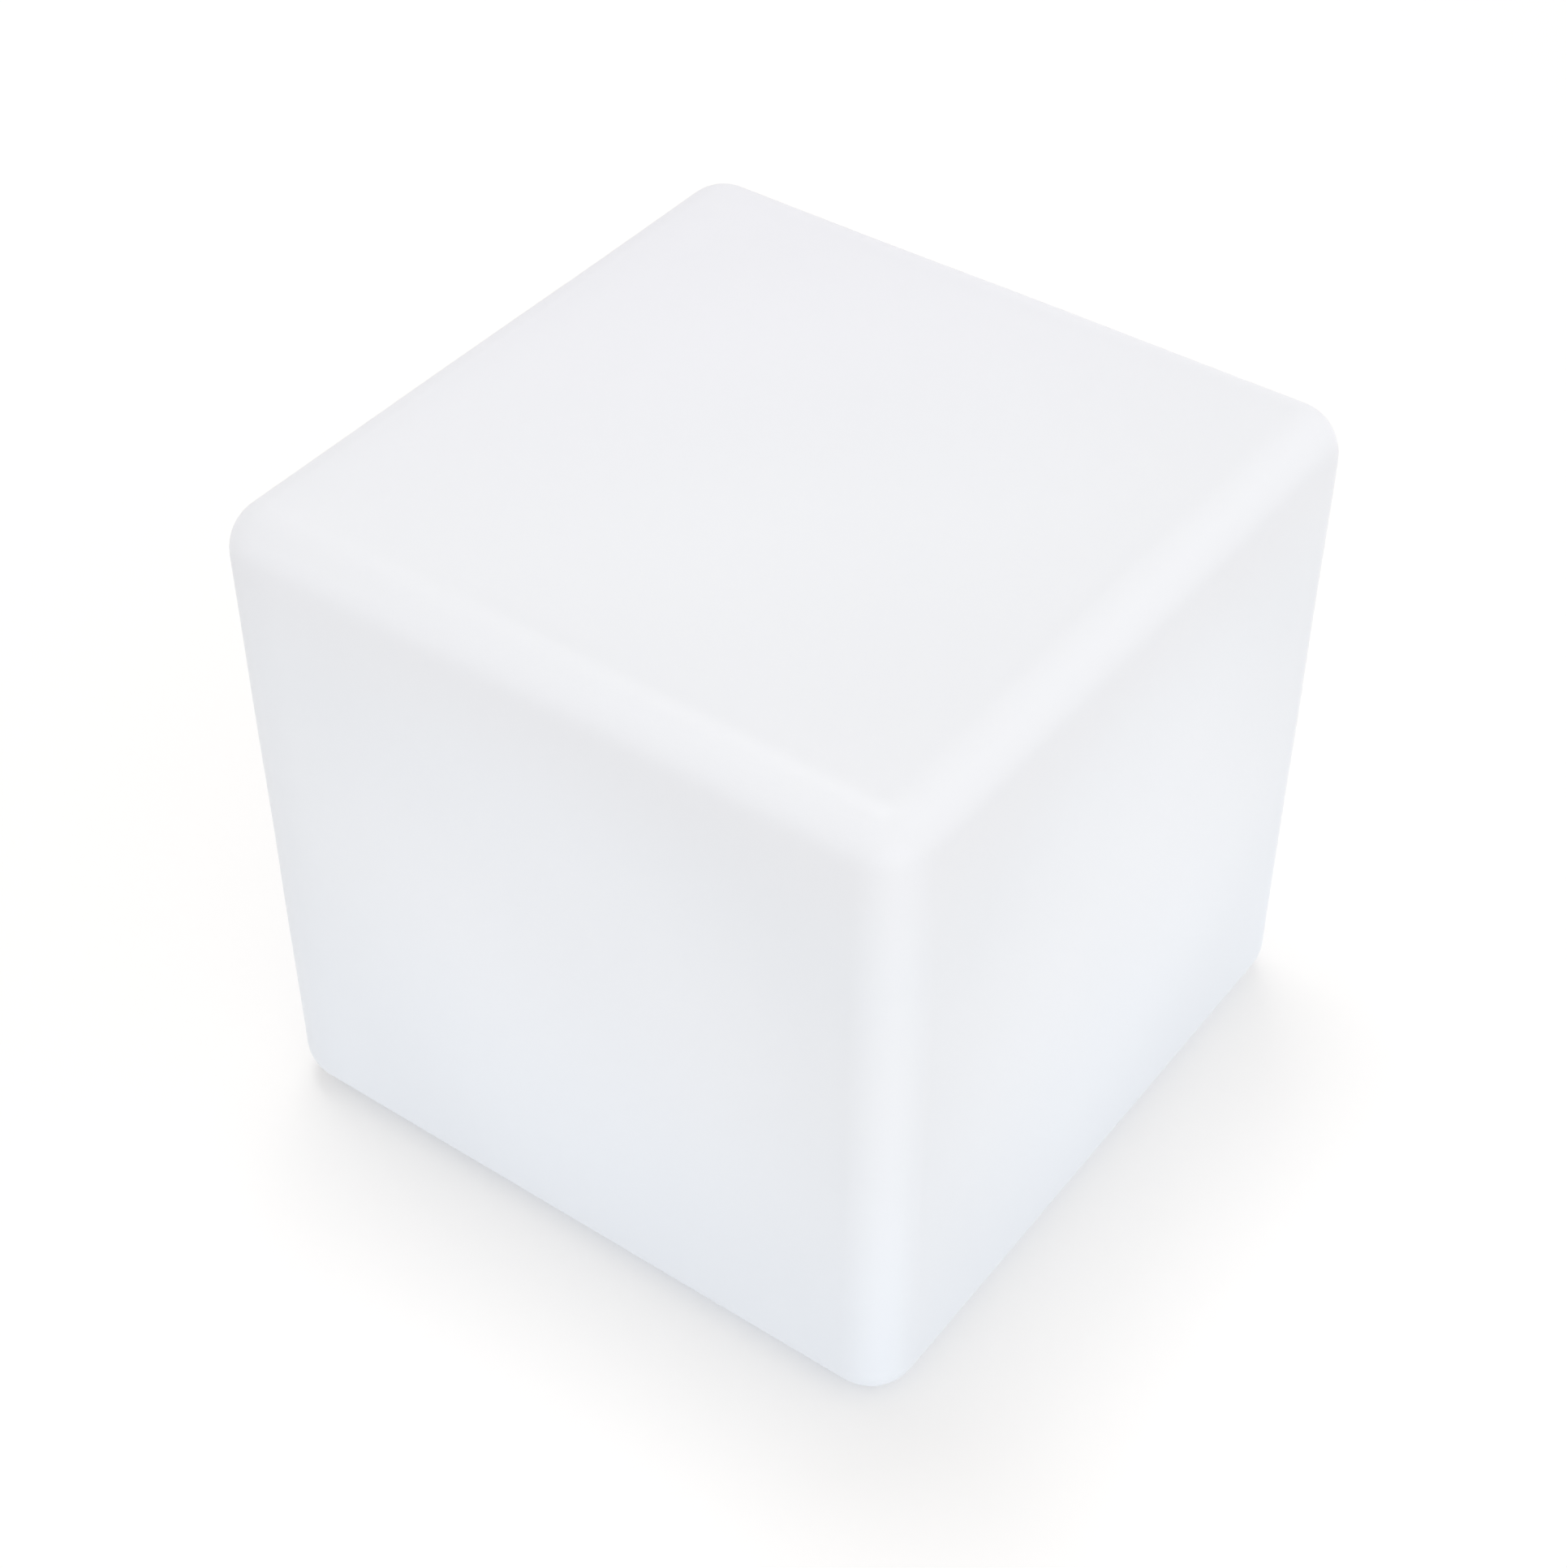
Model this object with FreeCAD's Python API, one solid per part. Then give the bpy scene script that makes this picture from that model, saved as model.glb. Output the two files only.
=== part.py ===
"""Rechargeable cube light: a hollow moulded cube that stands on the floor, lit from inside.

A round light module fills a pocket in the underside. Its cover carries the battery, the control
board, the push button and the charging socket; a housing on top of the cover carries the LED board
under a clear dome. Millimetres, +Z up, origin at the centre of the footprint, on the floor.
"""
import FreeCAD
import Part

import math
import os

V = FreeCAD.Vector
UP = V(0, 0, 1)
DOWN = V(0, 0, -1)

# ---- cube shell --------------------------------------------------------------------------------
WIDTH = 400.0              # footprint, square
HEIGHT = 391.0             # floor to top face
EDGE_R = 27.0              # all twelve outer edges
WALL = 3.0                 # moulded wall
STAND_LAND = 24.0          # flat ring that touches the floor, inside the lower edge rounding
RELIEF_DEPTH = 2.5         # the rest of the underside is lifted by this
RELIEF_CORNER_R = 34.0
RELIEF_LIP_R = 2.0         # rounding where the relief meets the stand ring
PANEL_INSET = 1.0          # the base panel ends this far inside the lower edge rounding
PANEL_CORNER_R = 12.0
WELD_LAP = 6.0             # the panel's rim is welded under a ledge of the walls this wide

# ---- battery pack --------------------------------------------------------------------------------
CELL_R = 9.2
CELL_LENGTH = 65.2
CELL_GAP = 0.6             # between the two cells
CELL_CAP_R = 3.6           # raised positive button
CELL_CAP_H = 1.0
TAB_T = 0.3                # nickel strip welded to the cell ends
TAB_W = 8.0
WRAP_GAP = 0.1
WRAP_T = 0.4
PACK_LIFT = 1.5            # clear of the cover
CRADLE_AT = 0.37           # the cradles stand at this share of the cell length from the middle
CRADLE_T = 2.4
CRADLE_H = 7.0
CRADLE_GAP = 0.2
CLAMP_T = 1.8
CLAMP_WIDTH = 14.0
CLAMP_FOOT = 7.4
CLAMP_FOOT_T = 2.0
CLAMP_BOSS_H = 9.0
CLAMP_SCREW_LENGTH = 9.0

# ---- control board -------------------------------------------------------------------------------
BOARD_X = 56.0
BOARD_Y = 34.0
BOARD_T = 1.6
BOARD_AT_Y = -25.0
BOARD_LIFT = 9.0           # underside of the board over the cover's inner face
BOARD_POST_INSET = 4.0     # post axis inside the board's edge
BOARD_POST_R = 3.0
BOARD_TO_PACK = 1.8        # between the board and the clamp foot beside it
BOARD_SCREW_LENGTH = 7.0

# ---- screws and what they turn into --------------------------------------------------------------
M4_R = 1.95
M4_GAP = 0.1               # between a screw and what it passes through or turns into
M4_HEAD_R = 4.0
M4_HEAD = 2.4
M4_LENGTH = 12.0
M3_R = 1.45
M3_GAP = 0.1
M3_HEAD_R = 2.8
M3_HEAD = 2.0
M25_R = 1.2
M25_GAP = 0.1
M25_HEAD_R = 2.3
M25_HEAD = 1.6
HOLE_GAP = 0.25            # round a screw in a plain clearance hole
HEAD_GAP = 0.4             # round a screw head in its counterbore
BOSS_R = 3.3               # small bosses that screws turn into
BLIND = 0.5                # hole left under a screw's tip

# ---- light module: cover, spigot and pillars -----------------------------------------------------
COVER_T = 3.0
COVER_EDGE = 8.5           # cover's rim outside the ring of its screws
COVER_ROUND = 1.5
FACE_GROOVE_R = 0.8        # half-round groove between the two rings of screws
SPIGOT_WALL = 2.5
SPIGOT_H = 12.0
SPOT_FACE = 0.8            # sinks under the screw heads
SCREW_PAD_R = 4.6          # pads that bottom on the inserts and set the seal's squeeze
RIB_T = 1.6
RIB_H = 5.0
LEAD_ROOM = 8.9            # for the battery leads, between the cell ends and the pillars
PILLAR_Y = 16.8
PILLAR_R = 4.2
WALL_ROOM = 1.3            # between the pillars and the spigot's wall

# ---- seal, screws and inserts of the cover -------------------------------------------------------
COVER_SCREWS = 6
OPENING_GAP = 0.6          # round the spigot in the shell's opening
SEAL_INSET = 2.7           # seal's inner edge outside the opening
SEAL_W = 3.3
SEAL_T = 1.5               # the seal as squeezed
INSERT_R = 3.6
INSERT_LENGTH = 9.0
INSERT_BOSS_R = 7.4
INSERT_BOSS_TOP_R = 6.2
INSERT_BOSS_ROOF = 2.5     # plastic over the blind end of an insert

# ---- pocket for the light module -----------------------------------------------------------------
POCKET_GAP = 3.0           # round the cover, at the seat
POCKET_FLARE = 2.0         # how much wider the mouth is than the seat
POCKET_LIP_R = 4.0
SEAT_Z = 26.5              # underside of the shoulder that the module is screwed up against
SHOULDER = 4.0             # thickness of that shoulder

# ---- housing, LED board and dome -----------------------------------------------------------------
HOUSING_H = 27.0
HOUSING_TOP = 2.5
LIP_H = 4.0                # housing's inner lip, down inside the spigot
LIP_GAP = 0.25
LIP_WALL = 1.8
LIP_RISE = 1.5             # how far the lip runs up inside the housing's wall
HOUSING_SCREW_LENGTH = 22.0
DOME_EDGE = 0.5            # dome's flange inside the housing's rim
DOME_FLANGE_W = 9.0
DOME_FLANGE_T = 2.0
DOME_RISE = 21.0
DOME_WALL = 1.8
DOME_SCREWS = 4
DOME_SCREW_INSET = 5.7     # screw ring inside the flange's edge
DOME_SCREW_LENGTH = 8.0
LED_BOARD_GAP = 2.7        # round the LED board, inside the dome
LED_BOARD_T = 1.6
LED_COUNT = 12
LED_RING_INSET = 12.0      # ring of LEDs inside the board's edge
LED_INNER_COUNT = 4
LED_INNER_RING_R = 13.0
LED_SIDE = 5.0
LED_H = 1.5
LED_SCREWS = 3
LED_SCREW_INSET = 4.0
LED_SCREW_LENGTH = 7.0
BOSS_H = 9.0               # bosses that hang from the housing's roof
WIRE_HOLE_R = 4.0
WIRE_HOLE_AT = (0.0, -20.0)

# ---- push button ---------------------------------------------------------------------------------
BUTTON_X = -13.0
BUTTON_R = 6.0
BUTTON_GAP = 0.2
BUTTON_PROUD = 1.4         # below the cover
BUTTON_FLANGE_R = 7.6
BUTTON_FLANGE_T = 1.2
BUTTON_ROUND = 0.7
BUTTON_DISH_R = 22.0       # radius of the finger dish
BUTTON_DISH_DEPTH = 0.5
BUTTON_TRAVEL = 1.0
BUTTON_GUARD_GAP = 0.4     # round the flange, inside its guard ring
BUTTON_GUARD_WALL = 1.5
BUTTON_GROOVE_Z = 1.3      # seal groove, above the cover's outer face
BUTTON_SEAL_WIRE_R = 0.5
BUTTON_SEAL_GAP = 0.05     # between the seal and the bore it slides in
STEM_R = 1.5
SWITCH_SIDE = 6.2
SWITCH_H = 4.3
PLUNGER_R = 1.6
PLUNGER_GAP = 0.15
PLUNGER_PROUD = 1.5
PLUNGER_DEPTH = 1.5        # inside the switch at rest
PLUNGER_SPARE = 0.3        # bore left above the pressed plunger
SPRING_WIRE_R = 0.2
SPRING_R = 2.6
SPRING_TURNS = 3
SPRING_END_GAP = 0.02

# ---- charging socket and its flap ----------------------------------------------------------------
JACK_X = 13.0
JACK_BODY = 11.0
JACK_COLLAR_R = 4.5
JACK_COLLAR_GAP = 0.25
JACK_BORE_R = 3.1
JACK_BORE_ROOF = 1.5
JACK_PIN_R = 1.0
JACK_PIN_LENGTH = 4.6
JACK_MOUTH_LIFT = 2.3      # socket mouth above the cover's outer face
JACK_BODY_LIFT = 0.4       # between the cover's port boss and the socket's body
PORT_BOSS_H = 2.4
PORT_BOSS_WALL = 1.6       # round the flap's disc
FLAP_R = 6.8
FLAP_T = 1.6
FLAP_GAP = 0.3             # round the flap in its recess
FLAP_SINK = 0.2            # flap's faces inside the cover's outer face and off the recess floor
FLAP_ARM = 10.2            # socket axis to hinge line
STRAP_W = 7.0
HINGE_R = 0.4              # half the thinned web at the hinge line
HINGE_TAPER = 2.2          # length over which the strap thins
HINGE_GAP = 0.5            # between the swinging half of the web and the fixed half
ANCHOR_LENGTH = 7.0
ANCHOR_POST_R = 1.6
ANCHOR_POST_GAP = 0.1
ANCHOR_HEAD_R = 2.6
ANCHOR_HEAD_H = 1.4
NOSE_BASE_GAP = 0.1        # round the nose's foot, in the socket's bore
NOSE_TIP_R = 2.2
NOSE_H = 3.4
PULL_TAB = 2.4             # tongue to lift the flap with a fingernail
PULL_TAB_W = 6.0
NAIL_SCOOP_R = 6.0         # hollow in the cover beside the tongue
NAIL_SCOOP_DEPTH = 1.6

# ---- status light --------------------------------------------------------------------------------
LENS_Y = -36.0
LENS_R = 1.9
LENS_GAP = 0.1
LENS_FLANGE_R = 2.9
LENS_FLANGE_T = 1.0
LENS_PROUD = 0.2
LENS_TO_LED = 1.0
INDICATOR = (3.2, 1.6, 1.1)

# ---- wiring --------------------------------------------------------------------------------------
WIRE_R = 0.75
WIRE_PITCH = 2.0
WIRE_GAP = 0.15            # between the bundled LED wires
HEADER_WALL = 0.8
SOCKET = (6.5, 4.6, 6.0)   # board header of the battery lead
LED_SOCKET = (10.5, 4.6, 6.0)
PLUG_GAP = 0.1
PLUG_TOP = 3.0
LED_WIRES = 4

# ---- places and radii that follow from the sizes above -------------------------------------------
CELL_PITCH = 2 * CELL_R + CELL_GAP
WRAP_R = CELL_R + WRAP_GAP + WRAP_T
PACK_HALF = CELL_PITCH / 2 + WRAP_R + CRADLE_GAP
PACK_Y = BOARD_AT_Y + BOARD_Y / 2 + BOARD_TO_PACK + CLAMP_FOOT + PACK_HALF
PILLAR_X = CELL_LENGTH / 2 + TAB_T + LEAD_ROOM + PILLAR_R
BAY_R = max(math.hypot(PILLAR_X, PILLAR_Y) + PILLAR_R + WALL_ROOM,
            math.hypot(CLAMP_WIDTH / 2, PACK_Y + PACK_HALF + CLAMP_FOOT) + LIP_GAP + LIP_WALL,
            math.hypot(BOARD_X / 2, BOARD_Y / 2 - BOARD_AT_Y) + LIP_GAP + LIP_WALL)
SPIGOT_R = BAY_R + SPIGOT_WALL
OPENING_R = SPIGOT_R + OPENING_GAP
SEAL_INNER_R = OPENING_R + SEAL_INSET
SEAL_OUTER_R = SEAL_INNER_R + SEAL_W
COVER_SCREW_RING_R = SEAL_OUTER_R + SCREW_PAD_R + HEAD_GAP
COVER_R = COVER_SCREW_RING_R + COVER_EDGE
POCKET_R = COVER_R + POCKET_GAP
DOME_FLANGE_R = SPIGOT_R - DOME_EDGE
DOME_BASE_R = DOME_FLANGE_R - DOME_FLANGE_W
DOME_SCREW_RING_R = DOME_FLANGE_R - DOME_SCREW_INSET
LED_BOARD_R = DOME_BASE_R - DOME_WALL - LED_BOARD_GAP
LED_RING_R = LED_BOARD_R - LED_RING_INSET
LED_SCREW_RING_R = LED_BOARD_R - LED_SCREW_INSET

# ---- levels --------------------------------------------------------------------------------------
COVER_TOP_Z = SEAT_Z - SEAL_T
COVER_Z = COVER_TOP_Z - COVER_T
SPIGOT_TOP_Z = COVER_TOP_Z + SPIGOT_H
HOUSING_TOP_Z = SPIGOT_TOP_Z + HOUSING_H
LED_TOP_Z = HOUSING_TOP_Z + LED_BOARD_T
SHOULDER_TOP_Z = SEAT_Z + SHOULDER
RELIEF_WIDTH = WIDTH - 2 * (EDGE_R + STAND_LAND)
PACK_Z = COVER_TOP_Z + PACK_LIFT + WRAP_R
BOARD_Z = COVER_TOP_Z + BOARD_LIFT
BOARD_TOP_Z = BOARD_Z + BOARD_T
SWITCH_Z = BOARD_Z - SWITCH_H
HINGE_X = JACK_X + FLAP_ARM
FLAP_Z = COVER_Z + FLAP_SINK
HINGE_Z = FLAP_Z + FLAP_T / 2
FLAP_RECESS_Z = FLAP_Z + FLAP_T + FLAP_SINK
JACK_MOUTH_Z = COVER_Z + JACK_MOUTH_LIFT
JACK_BODY_Z = COVER_TOP_Z + PORT_BOSS_H + JACK_BODY_LIFT
PORT_BOSS_R = FLAP_R + PORT_BOSS_WALL
NOSE_BASE_R = JACK_BORE_R - NOSE_BASE_GAP


def cylinder(radius, height, x=0.0, y=0.0, z=0.0):
    return Part.makeCylinder(radius, height, V(x, y, z), UP)


def tube(outer_r, inner_r, height, x=0.0, y=0.0, z=0.0):
    return cylinder(outer_r, height, x, y, z).cut(cylinder(inner_r, height, x, y, z))


def block(size_x, size_y, size_z, x=0.0, y=0.0, z=0.0):
    """A box centred on x, y with its floor at z."""
    return Part.makeBox(size_x, size_y, size_z, V(x - size_x / 2, y - size_y / 2, z))


def join(shapes):
    """One solid out of pieces that touch or overlap."""
    return shapes[0].fuse(shapes[1:]).removeSplitter() if len(shapes) > 1 else shapes[0]


def on_ring(radius, count, start_degrees=0.0):
    """Places spread evenly on a circle, as (x, y)."""
    places = []
    for k in range(count):
        angle = math.radians(start_degrees + 360.0 * k / count)
        places.append((radius * math.cos(angle), radius * math.sin(angle)))
    return places


def edges_at(shape, z, reach=None, curved_only=False):
    """Edges that lie in the plane at height z, within reach of the Z axis."""
    found = []
    for edge in shape.Edges:
        box = edge.BoundBox
        if abs(box.ZMin - z) > 1e-4 or abs(box.ZMax - z) > 1e-4:
            continue
        far = max(abs(box.XMin), abs(box.XMax), abs(box.YMin), abs(box.YMax))
        if reach is not None and far > reach:
            continue
        if curved_only and isinstance(edge.Curve, Part.Line):
            continue
        found.append(edge)
    return found


def rounded_block(width, height, radius, z):
    """A square block with all twelve edges rounded alike."""
    plain = block(width, width, height, z=z)
    return plain.makeFillet(radius, plain.Edges)


def square_prism(width, corner_r, height, z):
    """A square prism with rounded corners."""
    plain = block(width, width, height, z=z)
    return plain.makeFillet(corner_r, [e for e in plain.Edges if e.BoundBox.ZLength > height / 2])


def rounded_square(width, corner_r, height, top_r, z):
    """A square prism with rounded corners, its upper rim rounded too."""
    prism = square_prism(width, corner_r, height, z)
    return prism.makeFillet(top_r, edges_at(prism, z + height))


def pocket_form(extra_r, roof_z, rim_r):
    """The module pocket as a solid plug, grown outwards by extra_r."""
    flare_per_mm = POCKET_FLARE / SEAT_Z
    below = 1.0
    plug = Part.makeCone(POCKET_R + POCKET_FLARE + extra_r + flare_per_mm * below,
                         POCKET_R + extra_r - flare_per_mm * (roof_z - SEAT_Z),
                         roof_z + below, V(0, 0, -below), UP)
    return plug.makeFillet(rim_r, edges_at(plug, roof_z))


def screw(x, y, seat_z, direction, shank_r, length, head_r, head_h, slot):
    """A pan-head screw. Its head bears on seat_z and its shank runs along direction."""
    up = direction.z > 0
    head_z = seat_z - head_h if up else seat_z
    head = cylinder(head_r, head_h, x, y, head_z)
    outer_z = head_z if up else head_z + head_h
    head = head.makeFillet(head_h * 0.45, edges_at(head, outer_z))
    shank = Part.makeCylinder(shank_r, length, V(x, y, seat_z), direction)
    tip = shank_r * 0.4
    end_z = seat_z + direction.z * length
    shank = shank.makeChamfer(tip, edges_at(shank, end_z))
    depth = head_h * 0.55
    slot_z = outer_z if up else outer_z - depth
    cross = [block(head_r * 1.1, slot, depth, x, y, slot_z),
             block(slot, head_r * 1.1, depth, x, y, slot_z)]
    return join([head, shank]).cut(cross)


# ---- cube shell ------------------------------------------------------------------------------------
def panel_space():
    """What belongs to the base panel. Its rim lies under a ledge half the wall thick."""
    rim_w = WIDTH - 2 * (EDGE_R + PANEL_INSET)
    rim = square_prism(rim_w, PANEL_CORNER_R, WALL / 2 + 1.0, -1.0)
    middle = square_prism(rim_w - 2 * WELD_LAP, PANEL_CORNER_R - WELD_LAP, HEIGHT / 2, WALL / 2)
    return join([rim, middle])


def make_shell():
    """Walls and top of the cube in one moulding, open below."""
    outside = rounded_block(WIDTH, HEIGHT, EDGE_R, 0.0)
    cavity = rounded_block(WIDTH - 2 * WALL, HEIGHT - 2 * WALL, EDGE_R - WALL, WALL)
    return outside.cut(cavity).cut(panel_space())


def make_shell_base():
    """The underside: a stand ring round a relief, with a pocket that turns up into the cube."""
    outside = rounded_block(WIDTH, HEIGHT, EDGE_R, 0.0)
    relief = rounded_square(RELIEF_WIDTH, RELIEF_CORNER_R, RELIEF_DEPTH + 1.0, RELIEF_LIP_R, -1.0)
    relief_skin = rounded_square(RELIEF_WIDTH + 2 * WALL, RELIEF_CORNER_R + WALL,
                                 RELIEF_DEPTH + WALL + 1.0, RELIEF_LIP_R, -1.0)
    pocket = pocket_form(0.0, SEAT_Z, 2.0)
    pocket_skin = pocket_form(WALL, SHOULDER_TOP_Z, 2.0 + WALL)

    body = outside.cut(relief).cut(pocket)
    mouth = [e for e in edges_at(body, RELIEF_DEPTH, POCKET_R + 2 * POCKET_FLARE, True)]
    body = body.makeFillet(POCKET_LIP_R, mouth)
    rim = edges_at(body, 0.0, RELIEF_WIDTH / 2 + 0.1)
    body = body.makeFillet(RELIEF_LIP_R * 0.6, rim)

    cavity = rounded_block(WIDTH - 2 * WALL, HEIGHT - 2 * WALL, EDGE_R - WALL, WALL)
    cavity = cavity.cut(relief_skin).cut(pocket_skin)
    body = body.cut(cavity).cut(cylinder(OPENING_R, SHOULDER + 2.0, z=SEAT_Z - 1.0))
    body = body.common(panel_space())

    boss_h = INSERT_LENGTH + INSERT_BOSS_ROOF - SHOULDER
    bosses = []
    holes = []
    for x, y in on_ring(COVER_SCREW_RING_R, COVER_SCREWS):
        boss = Part.makeCone(INSERT_BOSS_R, INSERT_BOSS_TOP_R, boss_h, V(x, y, SHOULDER_TOP_Z), UP)
        bosses.append(boss.makeFillet(1.2, edges_at(boss, SHOULDER_TOP_Z + boss_h)))
        holes.append(cylinder(INSERT_R, INSERT_LENGTH + 1.0, x, y, SEAT_Z - 1.0))
    return join([body] + bosses).cut(holes)


def make_threaded_inserts():
    """Brass inserts moulded into the shoulder, with a retaining groove at half length."""
    inserts = []
    for x, y in on_ring(COVER_SCREW_RING_R, COVER_SCREWS):
        insert = tube(INSERT_R, M4_R + M4_GAP, INSERT_LENGTH, x, y, SEAT_Z)
        groove = tube(INSERT_R + 1.0, INSERT_R - 0.5, 1.2, x, y, SEAT_Z + INSERT_LENGTH / 2)
        inserts.append(insert.cut(groove))
    return Part.makeCompound(inserts)


# ---- module cover ----------------------------------------------------------------------------------
def stadium(grow, length, x=0.0):
    """The battery pack's section, two cells side by side, grown and run along X."""
    radius = CELL_R + grow
    pieces = [block(length, CELL_PITCH, 2 * radius, x, PACK_Y, PACK_Z - radius)]
    for side in (-1, 1):
        y = PACK_Y + side * CELL_PITCH / 2
        pieces.append(Part.makeCylinder(radius, length, V(x - length / 2, y, PACK_Z), V(1, 0, 0)))
    return join(pieces)


def flap_outline(grow, height, z):
    """The flap's face: a disc over the socket, a pull tab and a strap that runs to the hinge."""
    strap_start = JACK_X
    strap_end = HINGE_X + ANCHOR_LENGTH + grow
    strap = block(strap_end - strap_start, STRAP_W + 2 * grow, height,
                  (strap_start + strap_end) / 2, BOARD_AT_Y, z)
    disc = cylinder(FLAP_R + grow, height, JACK_X, BOARD_AT_Y, z)
    tab_end = JACK_X - FLAP_R - PULL_TAB - grow
    tab = block(JACK_X - tab_end, PULL_TAB_W + 2 * grow, height,
                (JACK_X + tab_end) / 2, BOARD_AT_Y, z)
    return strap, disc, tab


def clamp_feet():
    """Centres in Y of the clamp's two screw bosses, one each side of the pack."""
    reach = PACK_HALF + CLAMP_FOOT / 2
    return (PACK_Y - reach, PACK_Y + reach)


def make_base_cover():
    """Round cover with a locating spigot and all the seats that the inner pieces are screwed to."""
    disc = cylinder(COVER_R, COVER_T, z=COVER_Z)
    disc = disc.makeFillet(COVER_ROUND, edges_at(disc, COVER_Z))
    spigot = tube(SPIGOT_R, SPIGOT_R - SPIGOT_WALL, SPIGOT_H, z=COVER_TOP_Z)
    solids = [disc, spigot]

    for x, y in on_ring(COVER_SCREW_RING_R, COVER_SCREWS):
        solids.append(cylinder(SCREW_PAD_R, SEAL_T, x, y, COVER_TOP_Z))
    for side in (-1, 1):
        x = side * CRADLE_AT * CELL_LENGTH
        depth = 2 * (CELL_PITCH / 2 + 0.8 * CELL_R)
        solids.append(block(CRADLE_T, depth, CRADLE_H, x, PACK_Y, COVER_TOP_Z))
    for x, y in board_posts():
        solids.append(cylinder(BOARD_POST_R, BOARD_LIFT, x, y, COVER_TOP_Z))
    for y in clamp_feet():
        solids.append(cylinder(BOSS_R, CLAMP_BOSS_H, 0.0, y, COVER_TOP_Z))
    for x, y in pillars():
        solids.append(cylinder(PILLAR_R, SPIGOT_H, x, y, COVER_TOP_Z))
    solids.append(cylinder(PORT_BOSS_R, PORT_BOSS_H, JACK_X, BOARD_AT_Y, COVER_TOP_Z))
    guard_r = BUTTON_FLANGE_R + BUTTON_GUARD_GAP
    solids.append(tube(guard_r + BUTTON_GUARD_WALL, guard_r, PORT_BOSS_H,
                       BUTTON_X, BOARD_AT_Y, COVER_TOP_Z))
    mid_wall_r = SPIGOT_R - SPIGOT_WALL / 2
    reach = math.sqrt(mid_wall_r ** 2 - (PILLAR_Y + RIB_T / 2) ** 2) - PILLAR_X
    for side in (-1, 1):
        for y in (-PILLAR_Y, PILLAR_Y):
            solids.append(block(reach, RIB_T, SPIGOT_H, side * (PILLAR_X + reach / 2), y,
                                COVER_TOP_Z))
        solids.append(block(RIB_T, 2 * PILLAR_Y, RIB_H, side * PILLAR_X, 0.0, COVER_TOP_Z))
    body = join(solids)

    cuts = [stadium(WRAP_GAP + WRAP_T + CRADLE_GAP, 2 * SPIGOT_R)]
    cuts += list(flap_outline(FLAP_GAP, FLAP_RECESS_Z - COVER_Z + 1.0, COVER_Z - 1.0))
    cuts.append(cylinder(JACK_COLLAR_R + JACK_COLLAR_GAP, COVER_T + PORT_BOSS_H + 1.0,
                         JACK_X, BOARD_AT_Y, COVER_Z))
    cuts.append(cylinder(ANCHOR_POST_R + ANCHOR_POST_GAP, COVER_T + 1.0,
                         anchor_x(), BOARD_AT_Y, COVER_Z))
    cuts.append(cylinder(BUTTON_R + BUTTON_GAP, COVER_T + 2.0, BUTTON_X, BOARD_AT_Y, COVER_Z - 1.0))
    cuts.append(cylinder(LENS_R + LENS_GAP, COVER_T + 2.0, 0.0, LENS_Y, COVER_Z - 1.0))
    cuts.append(Part.makeSphere(NAIL_SCOOP_R, V(
        JACK_X - FLAP_R - PULL_TAB, BOARD_AT_Y, COVER_Z + NAIL_SCOOP_DEPTH - NAIL_SCOOP_R)))
    for x, y in on_ring(COVER_SCREW_RING_R, COVER_SCREWS):
        cuts.append(cylinder(M4_R + HOLE_GAP, COVER_T + SEAL_T + 2.0, x, y, COVER_Z - 1.0))
        cuts.append(cylinder(M4_HEAD_R + HEAD_GAP, SPOT_FACE + 1.0, x, y, COVER_Z - 1.0))
    for x, y in pillars():
        cuts.append(cylinder(M3_R + HOLE_GAP, COVER_T + SPIGOT_H + 2.0, x, y, COVER_Z - 1.0))
        cuts.append(cylinder(M3_HEAD_R + HEAD_GAP, M3_HEAD + 1.0, x, y, COVER_Z - 1.0))
    groove_ring_r = (math.hypot(PILLAR_X, PILLAR_Y) + M3_HEAD_R + COVER_SCREW_RING_R - M4_HEAD_R) / 2
    cuts.append(Part.makeTorus(groove_ring_r, FACE_GROOVE_R, V(0, 0, COVER_Z), UP))
    for x, y in board_posts():
        depth = BOARD_SCREW_LENGTH - BOARD_T + BLIND
        cuts.append(cylinder(M25_R + M25_GAP, depth + 1.0, x, y, BOARD_Z - depth))
    for y in clamp_feet():
        depth = CLAMP_SCREW_LENGTH - CLAMP_FOOT_T + BLIND
        top = COVER_TOP_Z + CLAMP_BOSS_H
        cuts.append(cylinder(M3_R + M3_GAP, depth + 1.0, 0.0, y, top - depth))
    return body.cut(cuts)


def make_cover_seal():
    """Flat silicone ring squeezed between the cover and the shoulder."""
    return tube(SEAL_OUTER_R, SEAL_INNER_R, SEAL_T, z=COVER_TOP_Z)


def make_cover_screws():
    screws = []
    for x, y in on_ring(COVER_SCREW_RING_R, COVER_SCREWS):
        screws.append(screw(x, y, COVER_Z + SPOT_FACE, UP, M4_R, M4_LENGTH, M4_HEAD_R, M4_HEAD, 1.1))
    return Part.makeCompound(screws)


# ---- housing, LED board and dome -------------------------------------------------------------------
def pillars():
    return [(sx * PILLAR_X, sy * PILLAR_Y) for sx in (-1, 1) for sy in (-1, 1)]


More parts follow.
